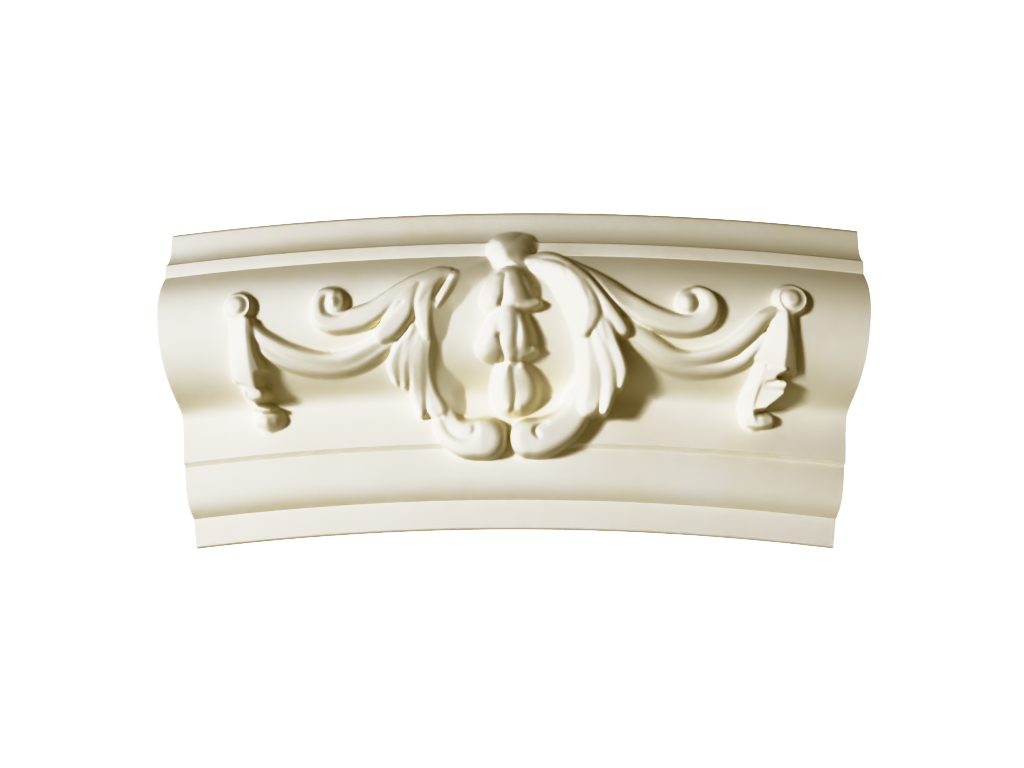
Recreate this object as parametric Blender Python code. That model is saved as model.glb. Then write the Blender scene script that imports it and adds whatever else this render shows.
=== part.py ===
"""A curved moulding: a 14 degree segment of a ring of cast moulding with a leaf, scroll and swag relief.

The piece stands upright in a wall plane. X runs across it, Z up it, its flat back lies at y = 0 and its
face looks towards -Y. The origin is at the middle of the back. Sizes in the tables are millimetres.
"""

import math

import bmesh
import bpy
import numpy as np
from mathutils import Vector

MM = 0.001

# Driving sizes of the segment
FACE_HEIGHT = 150.0
OUTER_RADIUS = 1370.0
HALF_ANGLE = math.radians(6.85)
CENTRE_Z = FACE_HEIGHT / 2 - OUTER_RADIUS

# The section from the top edge to the bottom edge, one curve for each member of the moulding:
# depth down the face, projection from the back and slope where it starts, then the same where it ends
SECTION = (
    ("top arris", (0.0, 12.0, 3.5), (1.6, 15.6, 0.9)),
    ("cavetto", (1.6, 15.6, 0.45), (17.2, 25.3, 1.35)),
    ("quirk", (17.2, 25.3, 2.2), (18.0, 27.2, 1.2)),
    ("fillet", (18.0, 27.2, 0.4), (24.4, 29.2, 0.15)),
    ("swell above the crest", (24.4, 29.2, 1.4), (54.0, 44.2, 0.0)),
    ("swell below the crest", (54.0, 44.2, 0.0), (80.0, 32.4, -0.98)),
    ("turn into the hollow", (80.0, 32.4, -0.98), (91.0, 24.3, 0.06)),
    ("apron", (91.0, 24.3, 0.06), (110.2, 28.6, 0.2)),
    ("small step", (110.2, 28.6, -0.7), (112.6, 26.9, -0.5)),
    ("ovolo", (112.6, 26.9, 0.45), (125.0, 28.6, -0.05)),
    ("ovolo foot", (125.0, 28.6, -0.05), (136.4, 22.6, -1.15)),
    ("fascia", (136.4, 22.6, 0.05), (148.8, 22.9, 0.0)),
    ("bottom arris", (148.8, 22.9, -0.3), (150.0, 21.6, -2.0)),
)

# The relief, drawn as strokes on the face. A stroke has a shape and rows of x, z, half width and height
# above the section; a row of five has its own half widths to the left and to the right of its travel.
KNOB = (
    ("round", ((-4.5, 53.5, 7.5, 8.0), (0.5, 53.8, 8.2, 8.5), (3.0, 53.2, 7.0, 7.5))),
    ("soft", ((-9.0, 49.0, 6.0, 4.5), (0.0, 47.5, 8.0, 6.5), (9.0, 48.5, 6.0, 5.0))),
)

UPPER_BELL = (
    ("round", ((-3.0, 41.5, 4.0, 6.0), (3.0, 41.0, 5.0, 6.5))),
    ("dome", ((2.0, 42.0, 5.0, 6.0), (2.4, 36.0, 8.5, 7.0), (2.8, 30.0, 9.0, 7.0), (3.0, 26.0, 8.5, 7.0))),
    ("round", ((-5.0, 41.0, 3.5, 6.0), (-7.0, 35.0, 4.5, 6.5), (-8.2, 29.0, 4.8, 6.5), (-8.8, 25.0, 4.2, 6.5))),
    ("round", ((0.0, 38.5, 2.4, 8.0), (0.0, 32.0, 2.6, 8.0), (-0.8, 27.0, 2.6, 8.0))),
    ("round", ((3.0, 24.6, 2.2, 7.0), (8.0, 23.6, 2.4, 6.0), (12.0, 25.2, 2.0, 4.5))),
)

LOWER_BELL = (
    ("round", ((-1.0, 24.0, 5.0, 6.5), (-1.5, 19.0, 6.0, 7.5))),
    ("round", ((-5.5, 16.0, 5.0, 7.5), (-9.0, 10.0, 5.6, 8.0), (-10.4, 5.6, 5.2, 8.0))),
    ("dome", ((3.0, 17.0, 5.0, 7.0), (5.0, 11.0, 5.7, 7.0), (5.0, 7.0, 5.6, 7.0))),
    ("round", ((-1.9, 12.0, 2.2, 9.0), (-1.9, 7.0, 2.0, 9.0), (-1.6, 3.0, 1.8, 8.5))),
    ("round", ((1.0, 1.8, 1.9, 7.5), (5.0, 3.0, 2.1, 7.5), (9.6, 5.4, 1.6, 6.5))),
)

BUD = (
    ("dome", ((-4.6, -3.0, 4.2, 7.0), (-5.6, -10.0, 5.4, 7.5), (-4.0, -16.5, 4.2, 7.0))),
    ("dome", ((4.5, -3.0, 4.6, 6.5), (7.0, -9.5, 6.2, 6.5), (5.0, -16.0, 5.0, 6.0))),
    ("round", ((-1.2, -2.0, 3.0, 8.0), (-0.8, -8.0, 3.6, 9.0), (-0.4, -14.0, 3.6, 9.5), (-0.2, -19.5, 2.6, 8.5),
               (0.0, -21.5, 1.6, 8.0))),
)

# Each scroll is a stem with a bank that falls towards the medallion, and it ends in a curl with an eye
LEFT_SCROLL = (
    ("bank", ((-14.0, 47.0, 6.0, 4.0, 5.0), (-23.0, 41.5, 8.0, 4.0, 6.5), (-29.5, 33.5, 7.5, 4.0, 7.0),
              (-33.5, 25.0, 7.0, 4.0, 7.0), (-35.3, 16.0, 6.3, 4.0, 6.5), (-35.6, 8.0, 3.2, 4.0, 6.0),
              (-35.4, 1.0, 3.1, 4.0, 6.5), (-34.6, -6.0, 6.5, 4.0, 8.0), (-33.0, -13.0, 10.5, 4.0, 9.5),
              (-31.0, -20.0, 9.5, 3.5, 10.0))),
    ("round", ((-33.2, -25.0, 3.0, 9.0), (-32.0, -31.0, 3.4, 10.0), (-27.0, -35.2, 3.8, 11.0),
               (-20.0, -38.2, 4.2, 12.0), (-12.5, -38.4, 4.8, 13.0), (-7.0, -35.0, 5.2, 13.0),
               (-6.5, -30.5, 4.6, 12.5), (-10.5, -27.4, 4.0, 12.0), (-15.0, -27.2, 3.4, 11.5),
               (-18.0, -28.0, 2.8, 11.0))),
    ("soft", ((-26.0, -24.0, 7.0, 7.0), (-22.0, -32.0, 7.0, 7.0))),
)

RIGHT_SCROLL = (
    ("bank", ((12.0, 47.5, 4.0, 6.0, 7.0), (22.0, 43.5, 4.0, 9.0, 8.0), (29.0, 37.0, 4.0, 10.5, 8.5),
              (32.5, 29.0, 4.0, 10.0, 9.0), (33.5, 20.0, 4.0, 8.5, 9.0), (33.5, 12.0, 4.0, 6.0, 8.5),
              (33.8, 4.0, 4.0, 4.5, 8.5), (34.0, -4.0, 4.0, 5.5, 9.5), (34.0, -11.0, 4.0, 8.0, 11.0),
              (32.0, -18.0, 4.0, 9.0, 12.0))),
    ("round", ((8.0, 47.0, 2.6, 6.5), (14.0, 49.0, 2.8, 7.5), (20.0, 47.5, 2.8, 7.5))),
    ("round", ((33.0, -16.0, 4.0, 12.0), (29.5, -23.0, 5.0, 12.0), (24.0, -29.0, 6.0, 12.0),
               (17.5, -33.2, 6.4, 12.5), (10.5, -35.0, 6.6, 13.0), (5.0, -33.0, 5.6, 13.0),
               (4.0, -29.0, 4.8, 12.5), (8.0, -26.8, 3.6, 12.0), (12.5, -26.6, 2.4, 11.0))),
)

LEFT_LEAF = (
    ("leaf", ((-34.0, 42.0, 3.0, 7.5), (-42.0, 34.0, 4.8, 8.5), (-47.5, 26.5, 5.4, 9.0), (-52.4, 19.8, 5.4, 9.5),
              (-56.5, 15.5, 4.4, 9.5), (-58.8, 13.0, 3.2, 9.0))),
    ("leaf", ((-43.4, 33.0, 2.6, 9.0), (-44.7, 28.0, 3.0, 9.5), (-44.9, 22.0, 3.0, 9.5), (-44.2, 17.5, 2.2, 9.0))),
    ("leaf", ((-28.0, 44.5, 2.4, 8.0), (-35.0, 41.0, 3.4, 8.5), (-39.0, 35.0, 4.0, 9.0), (-39.8, 28.0, 4.0, 9.0),
              (-39.4, 20.0, 3.5, 9.0), (-39.0, 14.5, 2.7, 9.0), (-38.8, 12.2, 1.6, 8.5))),
    ("leaf", ((-25.0, 43.0, 1.8, 9.0), (-28.0, 38.0, 2.2, 9.0), (-31.2, 31.5, 2.0, 8.5), (-33.6, 26.0, 1.2, 8.0))),
    ("leaf", ((-45.5, 22.0, 2.6, 7.0), (-48.5, 14.5, 3.0, 8.0), (-52.0, 7.0, 3.4, 8.5), (-53.2, 1.0, 3.2, 9.0),
              (-53.0, -3.0, 2.6, 10.0), (-53.0, -5.2, 1.3, 10.0))),
    ("leaf", ((-43.5, 17.0, 2.6, 7.5), (-46.5, 9.0, 2.9, 8.5), (-48.8, 1.0, 3.1, 9.5), (-49.3, -5.0, 2.8, 10.5),
              (-48.6, -8.0, 2.0, 10.5))),
    ("leaf", ((-41.0, 14.0, 2.6, 7.5), (-43.0, 5.0, 3.2, 8.5), (-43.6, -3.0, 3.5, 10.0), (-43.2, -12.0, 3.4, 12.0),
              (-42.0, -18.5, 2.8, 12.5), (-41.5, -21.8, 1.8, 12.0))),
    ("leaf", ((-37.8, 12.0, 2.0, 7.0), (-38.4, 3.0, 2.4, 8.0), (-38.2, -5.0, 2.6, 10.0), (-37.2, -12.0, 3.4, 11.5),
              (-35.8, -17.5, 3.8, 12.0), (-35.0, -20.3, 3.2, 12.0))),
)

RIGHT_LEAF = (
    ("leaf", ((29.0, 43.5, 2.4, 9.0), (34.0, 37.0, 2.6, 9.0), (38.5, 30.8, 2.9, 9.5), (42.0, 25.5, 3.2, 9.5),
              (46.0, 19.5, 3.6, 9.0), (49.5, 14.2, 3.3, 9.0), (51.2, 12.0, 2.6, 8.5))),
    ("leaf", ((29.5, 42.0, 2.2, 9.0), (32.0, 36.0, 2.4, 9.0), (33.0, 30.6, 2.8, 9.0), (34.0, 24.0, 3.4, 9.0),
              (33.9, 19.5, 3.3, 9.0), (33.0, 15.5, 2.7, 9.0), (32.0, 12.5, 1.9, 8.5))),
    ("leaf", ((41.0, 20.0, 2.6, 8.0), (43.5, 13.5, 2.8, 9.0), (45.8, 7.0, 2.8, 10.0), (47.2, 1.5, 2.8, 10.5),
              (47.9, -3.5, 2.6, 11.0), (47.6, -7.0, 2.4, 11.5))),
    ("leaf", ((39.5, 16.0, 2.6, 8.0), (41.0, 9.0, 2.8, 9.0), (42.3, 2.0, 3.0, 10.0), (43.0, -5.0, 3.2, 11.0),
              (42.5, -12.0, 3.3, 12.0), (41.5, -17.5, 2.8, 12.5), (40.0, -21.8, 1.9, 12.0))),
    ("leaf", ((35.0, 12.0, 3.6, 8.5), (35.0, 4.0, 4.0, 9.5), (35.2, -4.0, 4.2, 10.5), (34.8, -11.0, 4.0, 12.0),
              (33.6, -17.0, 3.4, 12.5))),
)

LEFT_ARM = (
    ("round", ((-31.0, 43.0, 2.5, 6.5), (-38.0, 39.3, 2.8, 6.5), (-44.0, 36.0, 3.2, 6.5), (-50.0, 31.5, 3.8, 6.5),
               (-55.0, 27.3, 4.3, 6.5), (-60.0, 23.0, 5.0, 6.5), (-65.0, 20.3, 5.7, 6.5), (-70.0, 18.8, 5.6, 6.5),
               (-75.0, 17.3, 5.0, 6.5), (-80.0, 17.2, 4.7, 6.5), (-84.7, 19.3, 3.9, 6.5), (-85.8, 25.0, 2.8, 6.5),
               (-85.0, 30.0, 2.7, 6.5), (-82.0, 32.3, 2.4, 6.5), (-79.0, 31.8, 2.6, 6.5))),
    ("round", ((-79.0, 27.6, 4.2, 8.0), (-79.0, 26.8, 4.2, 8.0))),
)

RIGHT_ARM = (
    ("round", ((27.0, 46.0, 2.5, 6.5), (33.0, 42.2, 3.0, 6.5), (40.0, 37.0, 4.2, 6.5), (50.0, 28.3, 5.2, 6.5),
               (60.0, 20.3, 5.5, 6.5), (70.0, 16.6, 5.3, 6.5), (79.0, 15.9, 5.0, 6.5), (85.0, 18.2, 4.7, 6.5),
               (88.0, 23.5, 4.2, 6.5), (87.4, 28.6, 3.4, 6.5), (84.0, 31.6, 2.6, 6.5), (80.0, 32.2, 2.2, 6.5))),
    ("round", ((76.6, 26.4, 4.5, 8.0), (76.6, 25.6, 4.5, 8.0))),
)

# The two swags are drawn for the right side, and the left ones are their mirror image
SWAG = (
    ("round", ((117.0, 18.5, 2.6, 4.0), (113.5, 14.5, 3.2, 4.5), (110.0, 11.2, 3.6, 5.0), (105.0, 8.2, 3.8, 5.0),
               (100.0, 5.6, 3.9, 5.0), (92.0, 2.9, 3.9, 5.0), (85.0, 1.4, 3.9, 5.0), (78.0, 1.2, 3.9, 5.0),
               (71.0, 2.8, 3.8, 5.0), (64.0, 6.0, 3.6, 5.0), (57.0, 10.5, 3.2, 5.0))),
    ("round", ((115.5, 13.0, 1.6, 3.5), (112.0, 7.5, 2.0, 4.0), (108.0, 3.6, 2.3, 4.5), (102.0, 0.4, 2.6, 4.5),
               (95.0, -1.8, 2.8, 4.5), (88.0, -2.9, 2.8, 4.5), (80.0, -3.0, 2.8, 4.5), (73.0, -2.0, 2.8, 4.5),
               (66.0, 0.4, 2.7, 4.5), (59.0, 4.5, 2.4, 4.5))),
)

# A rosette is a ring with a boss a little towards the light from its middle
ROSETTES = ((-121.0, 25.3, 6.5), (122.4, 26.7, 6.7))
ROSETTE_HEIGHT = 3.5
RIM_HEIGHT = 4.2
RIM_WIDTH = 0.9
BOSS_RADIUS = 4.2
BOSS_HEIGHT = 7.0
BOSS_SHIFT = -0.45

# The tassels are folded cloth: flat panels, each with corners of x, z and height, and soft folds below
LEFT_TASSEL = (
    ((-118.7, 19.0, 5.5), (-118.7, 5.0, 7.5), (-118.7, -4.0, 9.0), (-119.6, -9.2, 10.5), (-121.4, -9.6, 10.0),
     (-127.4, -7.2, 5.0), (-126.8, 5.0, 3.0), (-125.7, 15.0, 2.5), (-124.6, 19.0, 3.0)),
    ((-118.7, 19.0, 5.5), (-115.7, 12.0, 3.5), (-114.2, 4.5, 3.5), (-113.0, -0.5, 3.5), (-112.8, -2.0, 3.5),
     (-116.3, -4.0, 6.0), (-118.7, -4.5, 9.0), (-118.7, 5.0, 7.5)),
    ((-122.9, -17.0, 8.0), (-122.3, -9.6, 9.0), (-118.0, -9.6, 13.0), (-114.0, -10.4, 14.0), (-112.0, -12.2, 13.8),
     (-112.4, -14.0, 13.0), (-114.6, -15.4, 12.0), (-120.8, -17.3, 9.0)),
    ((-120.3, -18.3, 8.0), (-116.0, -18.2, 10.0), (-110.5, -18.5, 9.0), (-110.3, -21.3, 8.0), (-114.0, -21.7, 9.0),
     (-119.0, -20.6, 8.0)),
    ((-121.0, -22.0, 5.5), (-114.0, -22.4, 8.5), (-110.6, -22.2, 7.5), (-110.4, -25.6, 7.0), (-112.6, -28.4, 6.0),
     (-117.0, -29.4, 4.0), (-120.5, -28.5, 2.5)),
)
LEFT_FOLDS = (("soft", ((-121.0, -7.0, 6.0, 8.0), (-119.5, -15.0, 6.0, 9.0), (-117.5, -22.0, 6.5, 8.0), (-116.5, -26.0, 6.0, 5.5))),)

RIGHT_TASSEL = (
    ((120.0, 20.0, 5.5), (119.8, 10.0, 6.5), (119.4, 3.0, 7.5), (118.2, -2.0, 8.5), (116.8, -5.0, 9.0),
     (112.5, -8.0, 9.5), (107.4, -9.0, 6.0), (107.4, 0.8, 3.5), (110.1, 5.3, 3.0), (112.9, 12.9, 3.0),
     (115.2, 17.8, 3.0)),
    ((120.0, 20.0, 5.5), (124.2, 18.5, 3.0), (124.8, 8.0, 3.0), (125.2, 0.0, 3.5), (125.8, -4.5, 4.0),
     (121.5, -5.2, 7.5), (116.8, -5.0, 9.0)),
    ((107.5, -9.0, 6.0), (113.0, -8.8, 10.5), (119.5, -8.8, 12.0), (119.7, -12.0, 12.0), (116.0, -13.4, 11.5),
     (107.0, -13.0, 7.0)),
    ((106.6, -13.3, 6.5), (112.0, -13.8, 12.0), (119.8, -14.4, 12.5), (119.0, -17.0, 12.0), (115.4, -18.8, 11.0),
     (110.6, -19.7, 9.5), (105.6, -19.4, 5.0)),
    ((105.4, -20.0, 4.5), (112.0, -20.6, 8.5), (114.0, -21.4, 9.0), (113.4, -23.2, 8.0), (105.4, -23.8, 4.0)),
    ((105.4, -24.0, 3.5), (114.0, -25.0, 8.0), (119.6, -25.4, 7.0), (119.4, -28.6, 5.5), (115.0, -29.8, 5.0),
     (107.0, -28.4, 2.5)),
)
RIGHT_FOLDS = (("soft", ((110.0, -5.0, 5.0, 8.0), (110.0, -12.0, 5.0, 8.5), (109.0, -19.0, 6.0, 7.5), (109.5, -25.0, 6.0, 4.5))),)

# Cuts, with rows of x, z, half width and depth
CUTS = (
    ((-2.9, 38.5, 0.8, 3.0), (-2.7, 32.0, 0.8, 4.0), (-3.6, 28.0, 0.8, 4.0), (-5.4, 25.6, 0.8, 3.0)),
    ((5.0, 39.0, 0.9, 0.6), (7.2, 33.0, 1.0, 1.0), (8.4, 27.0, 1.0, 1.0)),
    ((-4.6, 10.4, 1.1, 4.0), (-4.4, 6.5, 0.7, 4.0), (-4.0, 3.5, 0.9, 4.0), (-4.5, 1.8, 1.6, 4.0)),
    ((-0.6, -1.0, 0.7, 1.0), (0.5, -7.0, 0.8, 1.4), (2.0, -12.0, 0.8, 1.6), (2.0, -15.0, 0.8, 1.5),
     (0.5, -19.0, 0.7, 1.0)),
    ((-28.7, 39.6, 0.8, 2.5), (-33.3, 33.7, 0.9, 4.0), (-34.7, 29.3, 0.9, 4.0), (-35.2, 26.0, 0.8, 3.0)),
    ((-40.6, 31.0, 1.2, 1.0), (-40.5, 23.5, 1.2, 1.6), (-39.8, 16.3, 1.0, 1.5), (-38.8, 12.6, 0.9, 1.2)),
    ((-50.3, 28.4, 0.8, 1.2), (-55.0, 23.5, 0.9, 1.6), (-58.9, 19.6, 0.9, 2.0), (-61.8, 15.8, 0.8, 2.0)),
    ((-46.3, 17.5, 0.7, 2.5), (-49.2, 14.4, 0.8, 3.5), (-52.2, 11.4, 0.8, 3.5)),
    ((-48.5, 12.0, 0.8, 1.0), (-51.0, 3.0, 0.8, 1.6), (-51.6, -4.0, 0.8, 2.0)),
    ((-43.2, 9.0, 0.8, 1.2), (-45.0, 3.0, 0.8, 2.5), (-46.0, -2.0, 0.9, 4.0), (-47.2, -9.5, 0.9, 5.0)),
    ((-39.8, 9.0, 0.8, 1.2), (-40.0, 4.0, 0.8, 1.6), (-40.3, -10.0, 0.8, 2.0), (-40.5, -18.0, 0.9, 2.2),
     (-40.3, -23.0, 0.9, 2.5)),
    ((-32.0, -28.0, 1.4, 1.5), (-27.8, -32.5, 1.5, 2.0), (-22.8, -34.0, 1.5, 2.5), (-17.8, -33.5, 1.4, 3.0),
     (-15.0, -31.5, 1.2, 3.0)),
    ((16.4, -26.6, 0.8, 2.5), (13.0, -27.4, 0.9, 3.0), (10.5, -28.6, 1.0, 3.5), (10.0, -30.6, 1.0, 3.0),
     (11.5, -32.4, 0.9, 1.5)),
    ((30.3, 32.6, 0.8, 1.0), (30.8, 25.6, 0.9, 1.6), (30.7, 18.1, 0.9, 1.6), (30.4, 13.3, 0.8, 1.2)),
    ((32.9, 34.7, 0.8, 1.2), (35.3, 30.6, 0.9, 2.0), (37.3, 27.6, 0.9, 2.2), (38.7, 24.0, 0.9, 2.2),
     (40.1, 20.6, 0.9, 2.0), (42.6, 16.7, 0.8, 1.8), (45.5, 13.3, 0.8, 1.6), (48.0, 11.0, 0.8, 1.2)),
    ((34.1, 39.1, 0.8, 1.0), (38.0, 35.3, 0.8, 1.6), (41.3, 31.1, 0.9, 2.0), (44.6, 27.6, 0.9, 2.0),
     (47.0, 23.6, 0.8, 1.6)),
    ((43.8, 8.0, 0.8, 1.2), (45.5, 1.0, 0.8, 1.8), (46.3, -6.0, 0.8, 2.0)),
    ((38.9, 4.0, 0.9, 2.0), (39.8, -3.0, 1.0, 3.0), (39.4, -10.0, 1.1, 4.0), (38.8, -15.0, 1.1, 4.0),
     (38.4, -19.0, 1.0, 4.0)),
    ((20.0, 40.0, 1.2, 0.6), (22.0, 35.8, 1.2, 0.8), (24.7, 30.6, 1.2, 0.8), (26.5, 24.7, 1.2, 0.6)),
    ((23.5, 41.3, 1.1, 0.6), (26.2, 32.7, 1.1, 0.8), (28.0, 23.6, 1.1, 0.7)),
    ((-79.0, 31.0, 0.9, 1.0), (-82.7, 29.5, 0.9, 2.5), (-83.2, 25.0, 0.9, 3.0), (-81.3, 22.4, 0.9, 3.0),
     (-77.5, 21.5, 0.9, 2.5), (-73.3, 22.6, 0.9, 1.5)),
    ((79.0, 31.2, 0.9, 1.0), (82.0, 29.0, 1.0, 3.0), (82.8, 25.0, 1.0, 3.5), (81.4, 21.6, 1.0, 3.0),
     (77.4, 20.4, 0.9, 2.0), (72.6, 21.4, 0.9, 1.0)),
)

# How finely the face is worked out, and how many triangles it keeps
RELIEF_PITCH = 0.8
RELIEF_EDGE = 0.9
PATH_STEP = 0.8
COLUMN_PITCH = 1.3
ROW_PITCH = 1.3
FACE_TRIANGLES = 9000
END_SNAP = math.radians(0.02)
SHARP_ANGLE = math.radians(35)


def bump_round(v):
    return np.sqrt(1.0 - v * v)


def bump_dome(v):
    return 1.0 - v * v


def bump_leaf(v):
    return (1.0 - v**2.6) ** 0.6


def bump_disc(v):
    return (1.0 - v**8) ** 0.5


def bump_soft(v):
    return 0.5 + 0.5 * np.cos(math.pi * v)


def bump_bank(v):
    return 1.0 - v**1.6


BUMPS = {
    "round": bump_round,
    "dome": bump_dome,
    "leaf": bump_leaf,
    "disc": bump_disc,
    "soft": bump_soft,
    "bank": bump_bank,
}


def mirrored(strokes):
    """The same strokes on the other side of the middle."""
    return tuple((shape, tuple((-row[0], *row[1:]) for row in rows)) for shape, rows in strokes)


def rosette(x, z, radius):
    """The strokes of one rosette: its disc, the rim round it and the boss."""
    turns = [math.tau * step / 16 for step in range(17)]
    reach = radius - RIM_WIDTH
    rim = tuple((x + reach * math.cos(turn), z + reach * math.sin(turn), RIM_WIDTH, RIM_HEIGHT) for turn in turns)
    return (
        ("disc", ((x, z - 0.1, radius, ROSETTE_HEIGHT), (x, z + 0.1, radius, ROSETTE_HEIGHT))),
        ("round", rim),
        ("round", ((x + BOSS_SHIFT, z, BOSS_RADIUS, BOSS_HEIGHT), (x + BOSS_SHIFT, z + 0.3, BOSS_RADIUS, BOSS_HEIGHT))),
    )


def smooth_path(rows):
    """Points along a Catmull-Rom curve through the rows, about PATH_STEP apart."""
    rows = np.array([row if len(row) == 5 else (row[0], row[1], row[2], row[2], row[3]) for row in rows])
    ends = np.vstack([2 * rows[0] - rows[1], rows, 2 * rows[-1] - rows[-2]])
    path = [rows[:1]]
    for a, b, c, d in zip(ends, ends[1:], ends[2:], ends[3:]):
        steps = max(2, math.ceil(math.dist(b[:2], c[:2]) / PATH_STEP))
        t = np.arange(1, steps + 1)[:, None] / steps
        path.append(0.5 * (2 * b + (c - a) * t + (2 * a - 5 * b + 4 * c - d) * t**2 + (3 * b - a - 3 * c + d) * t**3))
    return np.vstack(path)


def along(path, x, z):
    """How far out each point lies in half widths of the nearest stretch of the path, and the height there."""
    start, end = path[:-1], path[1:]
    run = end[:, :2] - start[:, :2]
    length2 = np.maximum((run**2).sum(1), 1e-9)
    dx = x[:, None] - start[:, 0]
    dz = z[:, None] - start[:, 1]
    t = np.clip((dx * run[:, 0] + dz * run[:, 1]) / length2, 0.0, 1.0)
    away = np.hypot(dx - t * run[:, 0], dz - t * run[:, 1])
    side = run[:, 0] * dz - run[:, 1] * dx
    at = start[:, 2:] + t[..., None] * (end[:, 2:] - start[:, 2:])
    width = np.maximum(np.where(side > 0, at[..., 0], at[..., 1]), 0.05)
    best = (away / width).argmin(1)
    pick = np.arange(len(x)), best
    return (away / width)[pick], at[..., 2][pick]


def carve(height, x, z, shape, rows):
    """Lays one stroke on the height field, or cuts it in when it has no shape."""
    path = smooth_path(rows)
    reach = path[:, 2:4].max() * (1.0 if shape else 3.0)
    near = (np.abs(x - np.clip(x, path[:, 0].min(), path[:, 0].max())) < reach) & (
        np.abs(z - np.clip(z, path[:, 1].min(), path[:, 1].max())) < reach
    )
    out, level = along(path, x[near], z[near])
    if shape:
        raised = level * BUMPS[shape](np.minimum(out, 1.0))
        height[near] = np.maximum(height[near], raised)
    else:
        height[near] = np.maximum(height[near] - level * np.exp(-out * out), 0.0)


def lay_panel(height, x, z, corners):
    """Raises the height field to a panel of flat triangles that fan out from its first corner."""
    x0, z0, h0 = corners[0]
    for (x1, z1, h1), (x2, z2, h2) in zip(corners[1:], corners[2:]):
        area = (x1 - x0) * (z2 - z0) - (x2 - x0) * (z1 - z0)
        u = ((x - x0) * (z2 - z0) - (x2 - x0) * (z - z0)) / area
        v = ((x1 - x0) * (z - z0) - (x - x0) * (z1 - z0)) / area
        inside = (u >= 0) & (v >= 0) & (u + v <= 1)
        level = h0 + u[inside] * (h1 - h0) + v[inside] * (h2 - h0)
        height[inside] = np.maximum(height[inside], level)


def relief_strokes():
    sides = LEFT_ARM + RIGHT_ARM + SWAG + mirrored(SWAG) + LEFT_FOLDS + RIGHT_FOLDS
    rosettes = rosette(*ROSETTES[0]) + rosette(*ROSETTES[1])
    leaves = LEFT_SCROLL + RIGHT_SCROLL + LEFT_LEAF + RIGHT_LEAF
    return sides + rosettes + leaves + KNOB + UPPER_BELL + LOWER_BELL + BUD


def blurred(field, cells):
    """Softens the field as a mould and paint do, by a bell curve over this many cells."""
    reach = math.ceil(3 * cells)
    bell = np.exp(-0.5 * (np.arange(-reach, reach + 1) / cells) ** 2)
    bell /= bell.sum()
    for axis in (0, 1):
        wide = np.pad(field, [(reach, reach) if axis == a else (0, 0) for a in (0, 1)], mode="edge")
        field = np.apply_along_axis(np.convolve, axis, wide, bell, "valid")
    return field


class Relief:
    """The carving as a field of heights over the face, read between its cells."""

    def __init__(self, pitch, edge):
        half_width = math.ceil(OUTER_RADIUS * math.sin(HALF_ANGLE)) + 4
        self.low = np.array([-half_width, -FACE_HEIGHT / 2 - 14.0])
        self.pitch = pitch
        count = np.ceil((np.array([half_width, FACE_HEIGHT / 2 + 4.0]) - self.low) / pitch).astype(int) + 1
        grid = np.meshgrid(*(self.low[i] + pitch * np.arange(count[i]) for i in (0, 1)), indexing="ij")
        x, z = (places.ravel() for places in grid)
        height = np.zeros(x.size)
        for shape, rows in relief_strokes():
            carve(height, x, z, shape, rows)
        for corners in LEFT_TASSEL + RIGHT_TASSEL:
            lay_panel(height, x, z, corners)
        for rows in CUTS:
            carve(height, x, z, None, rows)
        self.field = blurred(height.reshape(grid[0].shape), edge / pitch)

    def at(self, x, z):
        u = (x - self.low[0]) / self.pitch
        v = (z - self.low[1]) / self.pitch
        i = np.clip(u.astype(int), 0, self.field.shape[0] - 2)
        j = np.clip(v.astype(int), 0, self.field.shape[1] - 2)
        u, v = u - i, v - j
        f = self.field
        return (
            f[i, j] * (1 - u) * (1 - v)
            + f[i + 1, j] * u * (1 - v)
            + f[i, j + 1] * (1 - u) * v
            + f[i + 1, j + 1] * u * v
        )


def section_rows(pitch):
    """Depths down the face and projections there, with a row at each joint of two members."""
    depths, reaches = [], []
    for _, (d0, p0, s0), (d1, p1, s1) in SECTION:
        run = d1 - d0
        steps = max(2, math.ceil(run / pitch))
        t = np.arange(steps) / steps
        depths.append(d0 + run * t)
        reaches.append(
            p0 * (2 * t**3 - 3 * t**2 + 1)
            + p1 * (3 * t**2 - 2 * t**3)
            + run * (s0 * (t**3 - 2 * t**2 + t) + s1 * (t**3 - t**2))
        )
    depths.append([SECTION[-1][2][0]])
    reaches.append([SECTION[-1][2][1]])
    return np.concatenate(depths), np.concatenate(reaches)


def face_points(angle, depth, reach, relief):
    """The place of each face point, from its angle round the ring, its depth down the face and its reach."""
    radius = OUTER_RADIUS - depth
    x = radius * np.sin(angle)
    z = CENTRE_Z + radius * np.cos(angle)
    return np.stack([x, -(reach + relief.at(x, z)), z], -1) * MM


def face_sheet(relief, column_pitch, row_pitch):
    """The carved face as an open sheet, its columns set out by angle and its rows by depth."""
    depths, reaches = section_rows(row_pitch)
    rows = len(depths) - 1
    columns = math.ceil(2 * HALF_ANGLE * OUTER_RADIUS / column_pitch)
    bm = bmesh.new()
    bmesh.ops.create_grid(bm, x_segments=columns, y_segments=rows, size=0.5)
    column = np.rint((np.array([vert.co.x for vert in bm.verts]) + 0.5) * columns)
    row = np.rint((0.5 - np.array([vert.co.y for vert in bm.verts])) * rows).astype(int)
    angle = (2 * column / columns - 1) * HALF_ANGLE
    for vert, place in zip(bm.verts, face_points(angle, depths[row], reaches[row], relief)):
        vert.co = place
    bmesh.ops.triangulate(bm, faces=bm.faces)
    mesh = bpy.data.meshes.new("face_sheet")
    bm.to_mesh(mesh)
    bm.free()
    return mesh


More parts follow.
